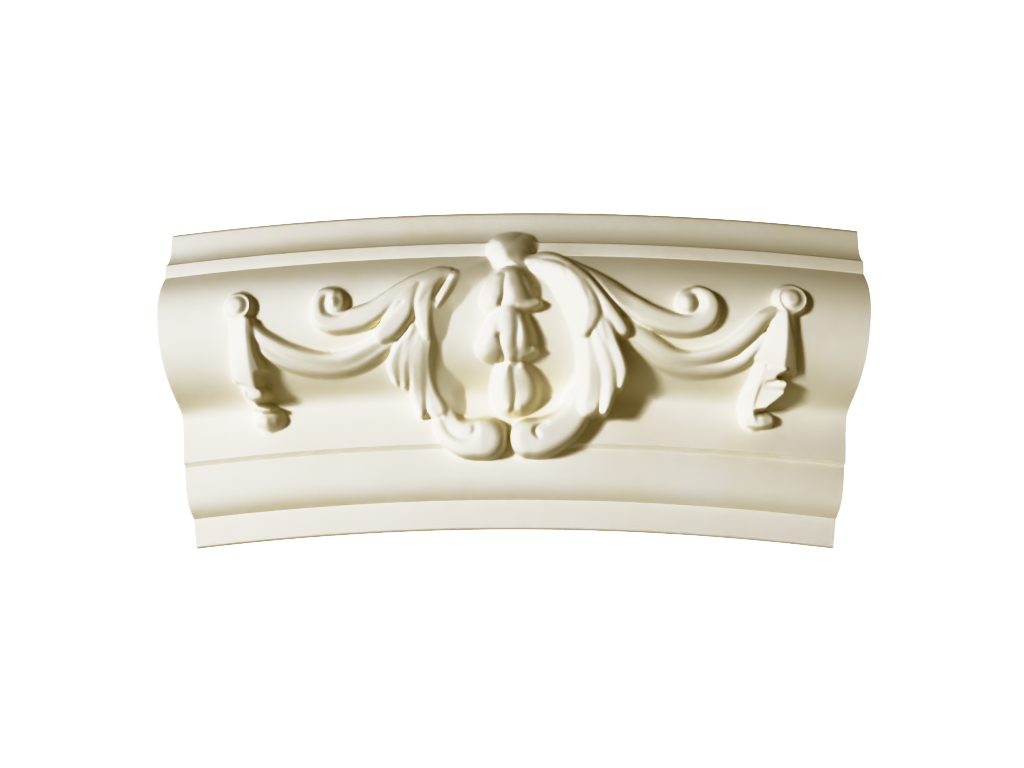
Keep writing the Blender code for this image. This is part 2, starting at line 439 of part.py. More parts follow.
def reduced(mesh, triangles):
    """The sheet with larger triangles where it is flatter, down to this many."""
    helper = bpy.data.objects.new("helper", mesh)
    bpy.context.scene.collection.objects.link(helper)
    helper.modifiers.new("Decimate", "DECIMATE").ratio = triangles / len(mesh.polygons)
    graph = bpy.context.evaluated_depsgraph_get()
    result = bpy.data.meshes.new_from_object(helper.evaluated_get(graph))
    bpy.data.objects.remove(helper)
    return result


def onto_end(place):
    """Puts a rim point that lies by an end exactly in that end's radial plane."""
    centre = Vector((0.0, 0.0, CENTRE_Z * MM))
    arm = place - centre
    angle = math.atan2(arm.x, arm.z)
    if HALF_ANGLE - abs(angle) > END_SNAP:
        return place
    radius = math.hypot(arm.x, arm.z)
    end = math.copysign(HALF_ANGLE, angle)
    return Vector((radius * math.sin(end), place.y, centre.z + radius * math.cos(end)))


def backed(sheet):
    """Closes the sheet with its edges, its two end cuts and the flat back at y = 0."""
    bm = bmesh.new()
    bm.from_mesh(sheet)
    rim = [edge for edge in bm.edges if edge.is_boundary]
    for vert in {vert for edge in rim for vert in edge.verts}:
        vert.co = onto_end(vert.co)
    new = bmesh.ops.extrude_edge_only(bm, edges=rim)["geom"]
    for vert in (item for item in new if isinstance(item, bmesh.types.BMVert)):
        vert.co.y = 0.0
    back = [item for item in new if isinstance(item, bmesh.types.BMEdge) and item.is_boundary]
    bmesh.ops.contextual_create(bm, geom=back)
    bmesh.ops.triangulate(bm, faces=[face for face in bm.faces if len(face.verts) > 3])
    bmesh.ops.recalc_face_normals(bm, faces=bm.faces)
    bm.to_mesh(sheet)
    bm.free()
    return sheet


def ivory_primer():
    material = bpy.data.materials.new("ivory_primer")
    material.use_nodes = True
    shader = material.node_tree.nodes["Principled BSDF"]
    shader.inputs["Base Color"].default_value = (0.86, 0.84, 0.76, 1.0)
    shader.inputs["Roughness"].default_value = 0.6
    shader.inputs["Metallic"].default_value = 0.0
    return material


def main():
    for obj in list(bpy.data.objects):
        bpy.data.objects.remove(obj)
    sheet = face_sheet(Relief(RELIEF_PITCH, RELIEF_EDGE), COLUMN_PITCH, ROW_PITCH)
    mesh = backed(reduced(sheet, FACE_TRIANGLES))
    mesh.shade_smooth()
    mesh.set_sharp_from_angle(angle=SHARP_ANGLE)
    mesh.materials.append(ivory_primer())
    moulding = bpy.data.objects.new("curved_moulding", mesh)
    bpy.context.scene.collection.objects.link(moulding)


main()
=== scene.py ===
# %% [markdown]
# # A curved moulding, carved in code
#
# The real piece is a short length of a ceiling ring or door arch: a moulding bent along a circle, with a
# medallion of leaves, scrolls, bell flowers, swags and cloth tassels standing out of it. Such a piece is
# cast in one go, in plaster or in stiff foam, and leaves the works with a matt ivory primer on it.
#
# It could be sculpted by hand, or each leaf could be an object of its own. A casting has no joins, though,
# so here the face is one sheet: a grid that is pushed out first by the section of the moulding, and then by
# a field of heights in which every ornament is drawn as a few strokes, as a carver lays down clay.

# %% The frame that everything is built around
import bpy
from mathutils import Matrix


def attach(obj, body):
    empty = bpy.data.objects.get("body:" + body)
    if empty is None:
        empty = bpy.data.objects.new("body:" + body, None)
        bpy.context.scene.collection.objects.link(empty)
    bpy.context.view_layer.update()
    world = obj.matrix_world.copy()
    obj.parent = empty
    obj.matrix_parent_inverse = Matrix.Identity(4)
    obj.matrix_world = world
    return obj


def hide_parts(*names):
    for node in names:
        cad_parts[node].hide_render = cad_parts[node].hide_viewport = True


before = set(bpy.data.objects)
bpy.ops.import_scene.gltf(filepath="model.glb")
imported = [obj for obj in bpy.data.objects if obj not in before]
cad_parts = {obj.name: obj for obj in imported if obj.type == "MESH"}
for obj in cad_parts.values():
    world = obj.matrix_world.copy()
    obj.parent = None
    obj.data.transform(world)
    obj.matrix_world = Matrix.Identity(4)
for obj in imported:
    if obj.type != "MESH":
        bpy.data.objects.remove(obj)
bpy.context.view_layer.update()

# %% The modules this lesson uses
import math

import bmesh
import bpy
import numpy as np
from mathutils import Matrix, Vector

MM = 0.001

# %% [markdown]
# ## The section
#
# A plasterer runs a straight moulding with a zinc template, and the template's edge is the section. This
# one has, from the top, a small cavetto, a fillet, a broad swell, an apron, a small step, an ovolo and a
# fascia. Each member is one Hermite curve: where it starts and ends, and how steeply. A Bezier drawn in the
# editor would do as well, but named members are easier to change.

# %% The ring and its section, in millimetres
FACE_HEIGHT = 150.0
OUTER_RADIUS = 1370.0
HALF_ANGLE = math.radians(6.85)
CENTRE_Z = FACE_HEIGHT / 2 - OUTER_RADIUS

# Each member: depth down the face, projection from the back and slope where it starts, and where it ends
SECTION = (
    ("top arris", (0.0, 12.0, 3.5), (1.6, 15.6, 0.9)),
    ("cavetto", (1.6, 15.6, 0.45), (17.2, 25.3, 1.35)),
    ("quirk", (17.2, 25.3, 2.2), (18.0, 27.2, 1.2)),
    ("fillet", (18.0, 27.2, 0.4), (24.4, 29.2, 0.15)),
    ("swell above the crest", (24.4, 29.2, 1.4), (54.0, 44.2, 0.0)),
    ("swell below the crest", (54.0, 44.2, 0.0), (80.0, 32.4, -0.98)),
    ("turn into the hollow", (80.0, 32.4, -0.98), (91.0, 24.3, 0.06)),
    ("apron", (91.0, 24.3, 0.06), (110.2, 28.6, 0.2)),
    ("small step", (110.2, 28.6, -0.7), (112.6, 26.9, -0.5)),
    ("ovolo", (112.6, 26.9, 0.45), (125.0, 28.6, -0.05)),
    ("ovolo foot", (125.0, 28.6, -0.05), (136.4, 22.6, -1.15)),
    ("fascia", (136.4, 22.6, 0.05), (148.8, 22.9, 0.0)),
    ("bottom arris", (148.8, 22.9, -0.3), (150.0, 21.6, -2.0)),
)


def section_rows(pitch):
    """Depths down the face and projections there, with a row at each joint of two members."""
    depths, reaches = [], []
    for _, (d0, p0, s0), (d1, p1, s1) in SECTION:
        run = d1 - d0
        steps = max(2, math.ceil(run / pitch))
        t = np.arange(steps) / steps
        depths.append(d0 + run * t)
        reaches.append(
            p0 * (2 * t**3 - 3 * t**2 + 1)
            + p1 * (3 * t**2 - 2 * t**3)
            + run * (s0 * (t**3 - 2 * t**2 + t) + s1 * (t**3 - t**2))
        )
    depths.append([SECTION[-1][2][0]])
    reaches.append([SECTION[-1][2][1]])
    return np.concatenate(depths), np.concatenate(reaches)


print("section:", len(SECTION), "members, deepest projection", max(section_rows(1.0)[1]), "mm")

# %% [markdown]
# The fillet and the steps stop where the carving covers them. So the carving stands on a softened copy of
# the section, in which the arrises are rounded away, and the plain stretches keep the crisp one.

# %% The ground under the carving
GROUND_SOFTNESS = 3.5
COVER = 2.5
GROUND_STEP = 0.25


def softened_section():
    """The section on an even grid of depths, blurred by a bell curve."""
    even = np.arange(0.0, FACE_HEIGHT + GROUND_STEP, GROUND_STEP)
    reach = np.interp(even, *section_rows(GROUND_STEP))
    cells = GROUND_SOFTNESS / GROUND_STEP
    half = math.ceil(3 * cells)
    bell = np.exp(-0.5 * (np.arange(-half, half + 1) / cells) ** 2)
    return even, np.convolve(np.pad(reach, half, mode="edge"), bell / bell.sum(), "valid")


GROUND = softened_section()


def ground_at(depth):
    return np.interp(depth, *GROUND)


# %% [markdown]
# ## Strokes
#
# Every form of the ornament is a stroke: a soft curve across the face that has a half width and a height
# all along it, and a rounded, domed, leaf-like or sloping cross-section. Points are given as x, z, half
# width and height above the section; a row of five has one half width to the left and one to the right of
# its travel. The curve through them is a Catmull-Rom spline, which passes through every point it is given.

# %% A smooth path through the rows of a stroke
PATH_STEP = 0.8


def smooth_path(rows):
    """Points along a Catmull-Rom curve through the rows, about PATH_STEP apart."""
    rows = np.array([row if len(row) == 5 else (row[0], row[1], row[2], row[2], row[3]) for row in rows])
    ends = np.vstack([2 * rows[0] - rows[1], rows, 2 * rows[-1] - rows[-2]])
    path = [rows[:1]]
    for a, b, c, d in zip(ends, ends[1:], ends[2:], ends[3:]):
        steps = max(2, math.ceil(math.dist(b[:2], c[:2]) / PATH_STEP))
        t = np.arange(1, steps + 1)[:, None] / steps
        path.append(0.5 * (2 * b + (c - a) * t + (2 * a - 5 * b + 4 * c - d) * t**2 + (3 * b - a - 3 * c + d) * t**3))
    return np.vstack(path)


def along(path, x, z):
    """How far out each point lies in half widths of the nearest stretch of the path, and the height there.

    Past an end the stroke closes with half an ellipse, as long as its narrower side is wide.
    """
    start, end = path[:-1], path[1:]
    run = end[:, :2] - start[:, :2]
    length = np.maximum(np.hypot(run[:, 0], run[:, 1]), 1e-4)
    dx = x[:, None] - start[:, 0]
    dz = z[:, None] - start[:, 1]
    reached = (dx * run[:, 0] + dz * run[:, 1]) / length**2
    t = np.clip(reached, 0.0, 1.0)
    beyond = (reached - t) * length
    aside = (run[:, 0] * dz - run[:, 1] * dx) / length
    at = start[:, 2:] + t[..., None] * (end[:, 2:] - start[:, 2:])
    left, right = (np.maximum(at[..., side], 0.05) for side in (0, 1))
    out = np.hypot(aside / np.where(aside > 0, left, right), beyond / np.minimum(left, right))
    pick = np.arange(len(x)), out.argmin(1)
    return out[pick], at[..., 2][pick]


# %% The cross-sections a stroke can have, from its middle (0) to its edge (1)
BUMPS = {
    "round": lambda v: np.sqrt(1.0 - v * v),
    "dome": lambda v: 1.0 - v * v,
    "leaf": lambda v: (1.0 - v**2.6) ** 0.6,
    "strap": lambda v: (1.0 - v**5) ** 0.5,
    "disc": lambda v: (1.0 - v**8) ** 0.5,
    "soft": lambda v: 0.5 + 0.5 * np.cos(math.pi * v),
    "bank": lambda v: 1.0 - v**1.6,
    "ramp": lambda v: 1.0 - v,
    "ledge": lambda v: (1.0 - 0.4 * v) * (1.0 - v**6) ** 0.5,
}
print("cross-sections:", ", ".join(BUMPS))

# %% [markdown]
# Two forms in clay don't meet in a knife-sharp valley: the tool leaves a little fillet. So a stroke is
# joined to what is there with a smooth maximum, which rounds the valley over MELT millimetres of height. A
# cut takes height away along its path, by a bell curve, as a veining tool does.

# %% Laying a stroke on, cutting one in, and a flat panel of cloth
MELT = 1.6


def melted(height, raised):
    """The higher of the two, with a small fillet where they cross."""
    melt = np.minimum(np.minimum(height, raised), MELT) + 1e-6
    near = np.maximum(melt - np.abs(height - raised), 0.0) / melt
    return np.maximum(height, raised) + near * near * melt / 4


def carve(height, x, z, shape, rows):
    """Lays one stroke on the height field, or cuts it in when it has no shape."""
    path = smooth_path(rows)
    reach = path[:, 2:4].max() * (1.0 if shape else 3.0)
    near = (np.abs(x - np.clip(x, path[:, 0].min(), path[:, 0].max())) < reach) & (
        np.abs(z - np.clip(z, path[:, 1].min(), path[:, 1].max())) < reach
    )
    out, level = along(path, x[near], z[near])
    if shape:
        height[near] = melted(height[near], level * BUMPS[shape](np.minimum(out, 1.0)))
    else:
        height[near] = np.maximum(height[near] - level * np.exp(-out * out), 0.0)


def lay_panel(height, x, z, corners):
    """Raises the height field to a panel of flat triangles that fan out from its first corner."""
    x0, z0, h0 = corners[0]
    for (x1, z1, h1), (x2, z2, h2) in zip(corners[1:], corners[2:]):
        area = (x1 - x0) * (z2 - z0) - (x2 - x0) * (z1 - z0)
        u = ((x - x0) * (z2 - z0) - (x2 - x0) * (z - z0)) / area
        v = ((x1 - x0) * (z - z0) - (x - x0) * (z1 - z0)) / area
        inside = (u >= 0) & (v >= 0) & (u + v <= 1)
        level = h0 + u[inside] * (h1 - h0) + v[inside] * (h2 - h0)
        height[inside] = np.maximum(height[inside], level)


# %% [markdown]
# ## The middle: knob, bell flowers and bud
#
# A soft knob sits on the fillet. Under it hang two bell flowers, one over the other, and a bud: a drop of
# husks, as it is called. Each flower is a broad low body with its petals laid over it, so that the valleys
# between the petals stay shallow.

# %% The knob and the drop of husks
KNOB = (
    ("dome", ((-4.0, 55.0, 13.5, 7.6, 8.5), (-2.4, 51.5, 16.0, 8.5, 9.2), (0.4, 48.0, 10.0, 9.5, 7.0),
              (1.6, 44.5, 6.0, 9.5, 5.0))),
)

UPPER_BELL = (
    ("leaf", ((-0.2, 37.0, 7.6, 7.4, 8.6), (0.2, 33.0, 9.0, 9.0, 8.4))),
    ("leaf", ((-4.9, 37.0, 6.0, 3.8, 8.2), (-5.8, 32.0, 7.4, 6.2, 8.8), (-7.0, 27.6, 8.0, 6.8, 8.8))),
    ("dome", ((0.6, 38.0, 8.8, 8.0, 8.2), (0.2, 33.0, 12.2, 9.4, 9.6), (1.0, 28.6, 11.6, 9.6, 9.4))),
    ("strap", ((4.0, 25.4, 2.8, 7.6), (8.0, 25.0, 2.7, 7.0), (11.4, 25.8, 2.2, 6.0))),
)

LOWER_BELL = (
    ("leaf", ((-2.0, 23.5, 5.0, 5.0, 7.6), (-1.8, 18.0, 6.4, 7.4, 8.6))),
    ("leaf", ((-5.0, 18.0, 7.0, 5.4, 8.2), (-7.6, 12.0, 8.6, 5.4, 9.2), (-9.4, 6.6, 9.0, 6.4, 9.4))),
    ("leaf", ((-1.2, 20.0, 7.0, 6.5, 8.8), (-1.3, 13.0, 7.4, 6.6, 9.8), (-1.2, 7.0, 6.8, 5.2, 10.0),
              (-0.2, 3.4, 4.4, 3.8, 9.4))),
    ("dome", ((3.2, 18.5, 5.0, 8.0, 8.0), (4.8, 11.0, 6.4, 9.6, 9.2), (4.8, 6.8, 6.4, 9.0, 9.0))),
    ("strap", ((4.0, 3.6, 3.0, 8.0), (9.4, 5.4, 2.4, 6.6))),
)

BUD = (
    ("dome", ((-0.4, -2.5, 8.0, 7.0, 7.4), (0.6, -9.0, 12.4, 10.6, 8.8), (0.4, -13.5, 12.6, 10.8, 8.8),
              (0.0, -17.0, 8.0, 7.5, 8.2))),
    ("leaf", ((-1.8, -2.5, 3.4, 3.2, 8.2), (-2.6, -8.0, 5.4, 4.6, 9.4), (-2.6, -13.5, 5.8, 4.8, 9.8),
              (-1.8, -18.6, 3.8, 3.6, 9.0))),
    ("leaf", ((4.4, -3.0, 3.8, 4.8, 7.8), (6.2, -9.0, 5.8, 6.6, 8.8), (6.0, -13.5, 6.2, 6.4, 8.8),
              (3.4, -18.0, 4.0, 4.4, 8.2))),
)
print("husks:", len(UPPER_BELL + LOWER_BELL + BUD), "strokes")

# %% [markdown]
# ## The two scrolls
#
# A stem runs down each side of the medallion and ends in a curl. Its cross-section is a bank: high along
# the leaves, and falling to the ground of the medallion. The piece was carved by eye, so left and right are
# not quite each other's mirror image, and each is drawn for itself.

# %% Stems and curls
LEFT_SCROLL = (
    ("ramp", ((-10.0, 47.0, 4.0, 3.0, 0.6), (-15.5, 44.4, 7.4, 3.0, 2.4), (-24.0, 39.4, 9.6, 3.0, 3.8),
              (-30.0, 33.4, 10.8, 3.0, 4.2), (-34.6, 26.0, 9.6, 3.0, 4.2), (-36.6, 18.0, 9.0, 3.0, 4.2),
              (-37.0, 12.6, 8.0, 3.0, 4.0), (-37.0, 9.0, 5.8, 3.0, 3.6), (-37.4, 4.0, 6.0, 3.0, 4.0),
              (-37.8, -1.7, 7.8, 3.0, 4.4), (-37.0, -8.0, 11.4, 3.0, 4.8), (-35.4, -13.7, 14.0, 3.0, 5.2),
              (-33.0, -19.0, 12.6, 3.0, 5.4), (-31.0, -24.0, 10.6, 3.0, 5.2))),
    ("strap", ((-30.8, -21.6, 4.4, 3.2), (-29.4, -27.0, 6.4, 6.0), (-26.0, -31.0, 7.4, 8.2),
               (-20.5, -33.4, 8.8, 9.8), (-14.5, -33.2, 9.6, 10.6), (-11.8, -33.2, 9.7, 10.6))),
)

RIGHT_SCROLL = (
    ("bank", ((10.0, 47.0, 4.0, 6.0, 6.0), (20.0, 44.5, 4.0, 9.5, 8.0), (28.0, 38.0, 4.0, 11.5, 8.5),
              (32.0, 29.0, 4.0, 11.0, 9.0), (33.4, 20.0, 4.0, 9.0, 8.4), (33.5, 12.0, 4.0, 6.5, 7.0),
              (33.8, 4.0, 4.0, 5.0, 7.6), (34.2, -4.0, 4.0, 6.0, 9.0), (34.2, -11.0, 4.0, 9.0, 11.0),
              (32.0, -18.0, 4.5, 10.0, 12.0))),
    ("round", ((8.0, 46.5, 2.8, 6.0), (14.0, 48.6, 3.2, 7.5), (20.5, 47.4, 3.2, 8.0), (26.0, 43.6, 2.8, 8.0))),
    ("strap", ((31.0, -16.0, 6.4, 10.6), (28.0, -23.0, 7.4, 11.0), (21.6, -29.2, 8.4, 11.4),
               (13.5, -32.8, 9.2, 11.6), (7.4, -33.2, 8.9, 11.4))),
)

# %% [markdown]
# ## The leaves
#
# Each side has an upper and a lower spray of lobes that overlap like fingers. One broad stroke makes the
# body of a spray, and each lobe is a narrower stroke that stands a little above it and ends in its own tip.

# %% Leaf sprays beside the medallion
LEFT_LEAF = (
    ("strap", ((-33.0, 40.0, 3.0, 3.2, 4.4), (-40.0, 33.0, 4.4, 5.6, 5.0), (-45.5, 26.0, 5.2, 6.4, 5.6),
               (-49.7, 18.8, 5.2, 6.4, 6.0), (-53.6, 14.4, 5.2, 5.6, 6.4), (-56.6, 12.0, 4.0, 4.2, 6.6))),
    ("strap", ((-42.6, 33.0, 2.8, 2.4), (-45.0, 28.0, 3.4, 2.4), (-46.0, 22.5, 3.6, 2.4), (-44.6, 17.6, 3.0, 2.4))),
    ("strap", ((-25.4, 40.2, 2.2, 2.2, 4.0), (-31.0, 39.2, 2.4, 2.8, 4.6), (-35.2, 35.0, 3.0, 4.2, 4.8),
               (-37.8, 29.0, 4.0, 4.6, 5.0), (-38.6, 23.5, 4.1, 4.4, 5.2), (-38.3, 18.0, 3.4, 3.7, 5.2),
               (-37.4, 13.4, 2.6, 2.7, 5.0), (-37.1, 11.8, 2.2, 2.2, 4.8))),
    ("round", ((-25.4, 38.8, 2.6, 4.2), (-27.4, 34.2, 2.4, 4.8), (-30.0, 29.4, 2.1, 4.6), (-32.6, 24.6, 1.2, 3.8))),
    ("strap", ((-44.5, 15.5, 2.6, 1.8, 3.4), (-47.4, 9.8, 3.4, 2.6, 4.6), (-50.2, 4.6, 3.6, 3.0, 5.4),
               (-52.3, -0.8, 4.2, 3.2, 6.0), (-52.1, -5.0, 3.4, 2.4, 6.0), (-51.6, -7.2, 2.3, 2.0, 5.8))),
    ("strap", ((-42.4, 14.0, 3.2, 3.2, 3.4), (-44.1, 8.6, 3.6, 3.6, 4.8), (-45.9, 4.0, 3.4, 3.2, 5.6),
               (-47.6, -1.7, 3.6, 3.4, 6.2), (-48.1, -6.4, 3.1, 3.3, 6.2), (-48.2, -8.8, 2.3, 2.5, 6.0))),
    ("strap", ((-38.8, 13.0, 2.8, 2.8, 3.6), (-39.6, 8.6, 3.3, 3.5, 4.8), (-41.0, 4.0, 4.4, 4.6, 5.6),
               (-41.9, -1.7, 5.2, 5.3, 6.2), (-42.5, -8.0, 5.0, 4.6, 6.4), (-42.4, -14.4, 4.7, 3.6, 6.4),
               (-41.7, -19.5, 3.4, 2.6, 6.2), (-41.0, -22.2, 2.3, 2.1, 6.0))),
    ("strap", ((-36.2, 12.0, 1.7, 2.2, 3.6), (-36.3, 8.6, 1.7, 2.4, 4.4), (-36.9, 4.0, 1.4, 2.4, 5.0),
               (-37.2, -1.7, 1.4, 2.6, 5.4), (-37.1, -8.0, 2.2, 3.4, 5.8), (-36.2, -14.0, 3.4, 4.5, 6.0),
               (-35.0, -18.2, 4.7, 5.2, 6.0), (-34.4, -20.0, 5.2, 4.6, 5.8))),
)

RIGHT_LEAF = (
    ("strap", ((25.5, 44.0, 2.4, 2.6, 7.6), (32.6, 35.8, 3.4, 4.2, 8.6), (39.0, 26.9, 3.9, 4.4, 8.8),
               (43.9, 19.9, 3.9, 4.4, 8.8), (47.6, 14.7, 3.6, 3.9, 8.8), (48.8, 13.0, 3.0, 3.0, 8.6))),
    ("strap", ((22.5, 44.5, 2.8, 2.8, 7.0), (29.2, 37.0, 4.0, 4.2, 8.2), (33.4, 29.5, 4.2, 4.6, 9.2),
               (35.2, 22.0, 4.6, 5.0, 9.8), (34.0, 17.2, 4.2, 4.4, 10.0), (32.0, 12.4, 2.6, 2.8, 9.8))),
    ("strap", ((38.9, 22.5, 2.8, 2.8, 8.2), (41.3, 15.0, 3.6, 4.4, 9.0), (44.1, 7.3, 3.4, 4.8, 11.0),
               (47.0, 0.6, 3.3, 5.0, 13.6), (48.7, -4.9, 3.1, 4.8, 15.6), (48.4, -8.6, 2.5, 3.6, 16.8),
               (48.0, -10.4, 2.1, 2.4, 17.0))),
    ("strap", ((35.3, 21.5, 3.2, 2.8, 7.8), (37.5, 14.0, 3.8, 3.4, 8.8), (39.0, 7.6, 4.0, 3.8, 10.4),
               (41.4, 0.6, 4.6, 4.6, 12.8), (43.1, -4.9, 4.8, 4.9, 14.8), (43.7, -10.3, 4.2, 4.9, 16.4),
               (42.8, -15.6, 3.2, 4.4, 17.0), (42.1, -19.0, 2.8, 3.9, 16.8), (41.0, -21.6, 2.2, 2.6, 16.4))),
    ("strap", ((34.1, 10.0, 3.8, 4.0, 7.8), (35.5, 3.0, 4.6, 4.6, 9.8), (36.3, -4.0, 6.2, 5.2, 12.2),
               (36.5, -11.0, 7.0, 5.6, 14.2), (35.3, -17.0, 6.9, 6.0, 15.0), (34.5, -18.6, 6.2, 5.6, 14.8))),
)

# %% [markdown]
# ## Arms, swags, rosettes and tassels
#
# From the leaves an arm runs out to each side and rolls up. Below it the strands of a swag hang from a
# rosette, and a tassel of folded cloth hangs under the rosette. The cloth has flat facets with crisp folds,
# which a round stroke can't give, so it is laid in flat panels, and its gathered foot in short thick strokes.

# %% Arms that end in a volute
LEFT_ARM = (
    ("strap", ((-28.0, 41.6, 2.0, 4.2), (-33.0, 41.4, 2.5, 4.8), (-38.0, 39.0, 2.9, 5.2), (-44.0, 35.8, 3.3, 5.3),
               (-50.0, 31.4, 3.8, 5.3), (-55.0, 27.2, 4.3, 5.3), (-60.0, 23.0, 5.0, 5.3), (-65.0, 20.3, 5.6, 5.3),
               (-70.0, 18.8, 5.5, 5.3), (-75.0, 17.5, 4.9, 5.3), (-80.0, 17.4, 4.6, 5.4), (-84.4, 19.6, 3.8, 5.6),
               (-85.6, 25.0, 2.9, 5.8), (-84.6, 29.6, 2.7, 5.8), (-81.8, 31.4, 2.4, 5.6), (-79.0, 31.0, 2.4, 5.4))),
    ("strap", ((-79.2, 27.2, 6.8, 4.8), (-79.2, 26.4, 6.8, 4.8))),
    ("dome", ((-78.3, 27.1, 4.1, 6.4), (-78.3, 26.3, 4.1, 6.4))),
)

RIGHT_ARM = (
    ("ledge", ((24.0, 45.6, 3.0, 2.5, 6.6), (31.0, 38.6, 6.2, 2.5, 7.2), (37.6, 32.0, 8.4, 2.5, 7.2),
               (43.6, 26.8, 9.2, 2.5, 6.6), (50.0, 23.0, 8.4, 3.0, 5.4), (58.0, 19.2, 6.6, 4.0, 3.4))),
    ("strap", ((39.5, 34.5, 3.4, 3.4, 3.6), (46.0, 29.0, 4.6, 4.4, 5.0), (54.0, 24.0, 5.3, 5.0, 5.6),
               (60.0, 20.3, 5.5, 5.5, 5.6), (70.0, 16.6, 5.3, 5.3, 5.6), (79.0, 15.9, 5.0, 5.0, 5.6),
               (85.0, 18.2, 4.7, 4.7, 5.8), (87.6, 23.5, 4.0, 4.0, 6.0), (86.4, 28.4, 3.2, 3.2, 6.0),
               (83.0, 31.0, 2.4, 2.4, 5.6), (81.0, 31.2, 2.0, 2.0, 5.0))),
    ("strap", ((79.4, 25.9, 6.6, 4.8), (79.4, 25.3, 6.6, 4.8))),
    ("leaf", ((77.1, 25.9, 4.6, 6.4), (77.1, 25.1, 4.6, 6.4))),
)

# %% Swags: an upper strand, and a lower one that reaches up under it
LEFT_SWAG = (
    ("leaf", ((-117.0, 18.5, 2.6, 4.0), (-113.5, 14.5, 3.2, 4.5), (-110.0, 11.2, 3.6, 5.0), (-105.0, 8.2, 3.8, 5.0),
              (-100.0, 5.6, 3.9, 5.0), (-92.0, 2.9, 3.9, 5.0), (-85.0, 1.4, 3.9, 5.0), (-78.0, 1.2, 3.9, 5.0),
              (-71.0, 2.8, 3.8, 5.0), (-64.0, 6.0, 3.6, 4.6), (-57.0, 10.3, 3.2, 4.0), (-53.0, 12.4, 3.0, 3.6))),
    ("leaf", ((-115.5, 13.0, 2.8, 1.6, 3.5), (-112.0, 7.5, 3.4, 2.0, 4.0), (-108.0, 3.6, 3.8, 2.3, 4.5),
              (-102.0, 0.4, 4.2, 2.6, 4.5), (-95.0, -1.8, 4.4, 2.8, 4.5), (-88.0, -2.9, 4.4, 2.8, 4.5),
              (-80.0, -3.0, 4.4, 2.8, 4.5), (-73.0, -2.0, 4.4, 2.8, 4.5), (-66.0, 0.4, 4.2, 2.7, 4.3),
              (-59.0, 4.5, 3.8, 2.5, 4.0), (-52.0, 9.0, 3.2, 2.4, 3.6))),
)
RIGHT_SWAG = (
    ("leaf", ((117.0, 22.5, 2.4, 2.4, 3.6), (113.5, 20.5, 3.0, 3.0, 4.4), (109.9, 18.2, 3.6, 3.6, 4.8),
              (105.0, 13.1, 4.2, 4.2, 5.0), (98.8, 7.5, 4.2, 4.2, 5.0), (92.6, 4.1, 4.0, 4.0, 5.0),
              (85.0, 2.0, 3.9, 3.9, 5.0), (78.0, 1.2, 3.9, 3.9, 5.0), (71.0, 2.2, 3.8, 4.4, 5.0),
              (64.0, 5.6, 3.6, 5.2, 4.8), (57.0, 10.5, 3.4, 5.4, 4.4), (49.0, 16.0, 3.0, 5.0, 4.0))),
    ("leaf", ((112.0, 10.5, 1.6, 3.0, 3.4), (107.0, 4.6, 1.8, 3.6, 3.8), (101.9, -0.8, 2.1, 4.0, 4.2),
              (95.0, -3.4, 2.3, 4.2, 4.4), (88.0, -4.0, 2.6, 4.4, 4.5), (80.0, -3.8, 2.9, 4.6, 4.5),
              (73.0, -2.6, 2.9, 4.6, 4.5), (66.0, 0.0, 2.8, 4.4, 4.3), (59.0, 4.2, 2.6, 4.2, 4.0),
              (51.0, 9.5, 2.4, 4.0, 3.6))),
)

# %% Rosettes: a thick disc with a rim, and a low boss a little to the left of its middle
ROSETTES = ((-121.0, 25.3, 6.5, 4.0), (122.9, 27.0, 7.1, 4.7))
RIM_RISE = 0.5
RIM_WIDTH = 0.9
BOSS_RISE = 1.6
BOSS_RADIUS = 4.4
BOSS_SHIFT = -0.45


def rosette(x, z, radius, height):
    """The strokes of one rosette: its disc, the rim round it and the boss."""
    turns = [math.tau * step / 16 for step in range(17)]
    reach = radius - RIM_WIDTH
    ring = tuple((x + reach * math.cos(turn), z + reach * math.sin(turn)) for turn in turns)
    boss = x + BOSS_SHIFT
    top = height + BOSS_RISE
    return (
        ("disc", ((x, z - 0.1, radius, height), (x, z + 0.1, radius, height))),
        ("round", tuple((*place, RIM_WIDTH, height + RIM_RISE) for place in ring)),
        ("strap", ((boss, z, BOSS_RADIUS, top), (boss, z + 0.3, BOSS_RADIUS, top))),
    )


# %% Tassels: flat panels of folded cloth, each with corners of x, z and height, and gathers below
LEFT_TASSEL = (
    ((-117.0, 20.5, 5.6), (-116.2, 5.0, 7.0), (-114.8, -11.3, 10.8), (-118.0, -10.2, 9.6), (-121.0, -8.8, 8.4),
     (-124.6, -8.0, 6.0), (-124.4, 5.0, 2.8), (-124.0, 20.5, 2.4)),
    ((-117.0, 20.5, 5.6), (-114.6, 20.0, 5.0), (-112.6, 6.0, 6.2), (-109.9, -3.3, 7.6), (-112.4, -4.5, 8.8),
     (-112.6, -11.5, 10.4), (-114.8, -11.3, 10.8)),
)
LEFT_FOLDS = (
    ("soft", ((-120.0, -8.0, 4.0, 6.5), (-118.0, -15.0, 4.4, 7.0), (-114.0, -21.0, 5.6, 6.6),
              (-112.0, -26.0, 6.0, 4.6))),
    ("disc", ((-118.6, -12.8, 2.8, 8.4), (-115.5, -13.2, 3.4, 10.4), (-112.8, -13.4, 2.9, 11.4))),
    ("disc", ((-117.2, -19.6, 1.3, 7.6), (-113.0, -19.9, 1.6, 8.4), (-109.6, -20.2, 1.4, 8.2))),
    ("dome", ((-114.5, -24.6, 4.6, 7.2), (-111.5, -25.0, 5.2, 7.6), (-109.0, -24.6, 5.0, 6.4))),
)

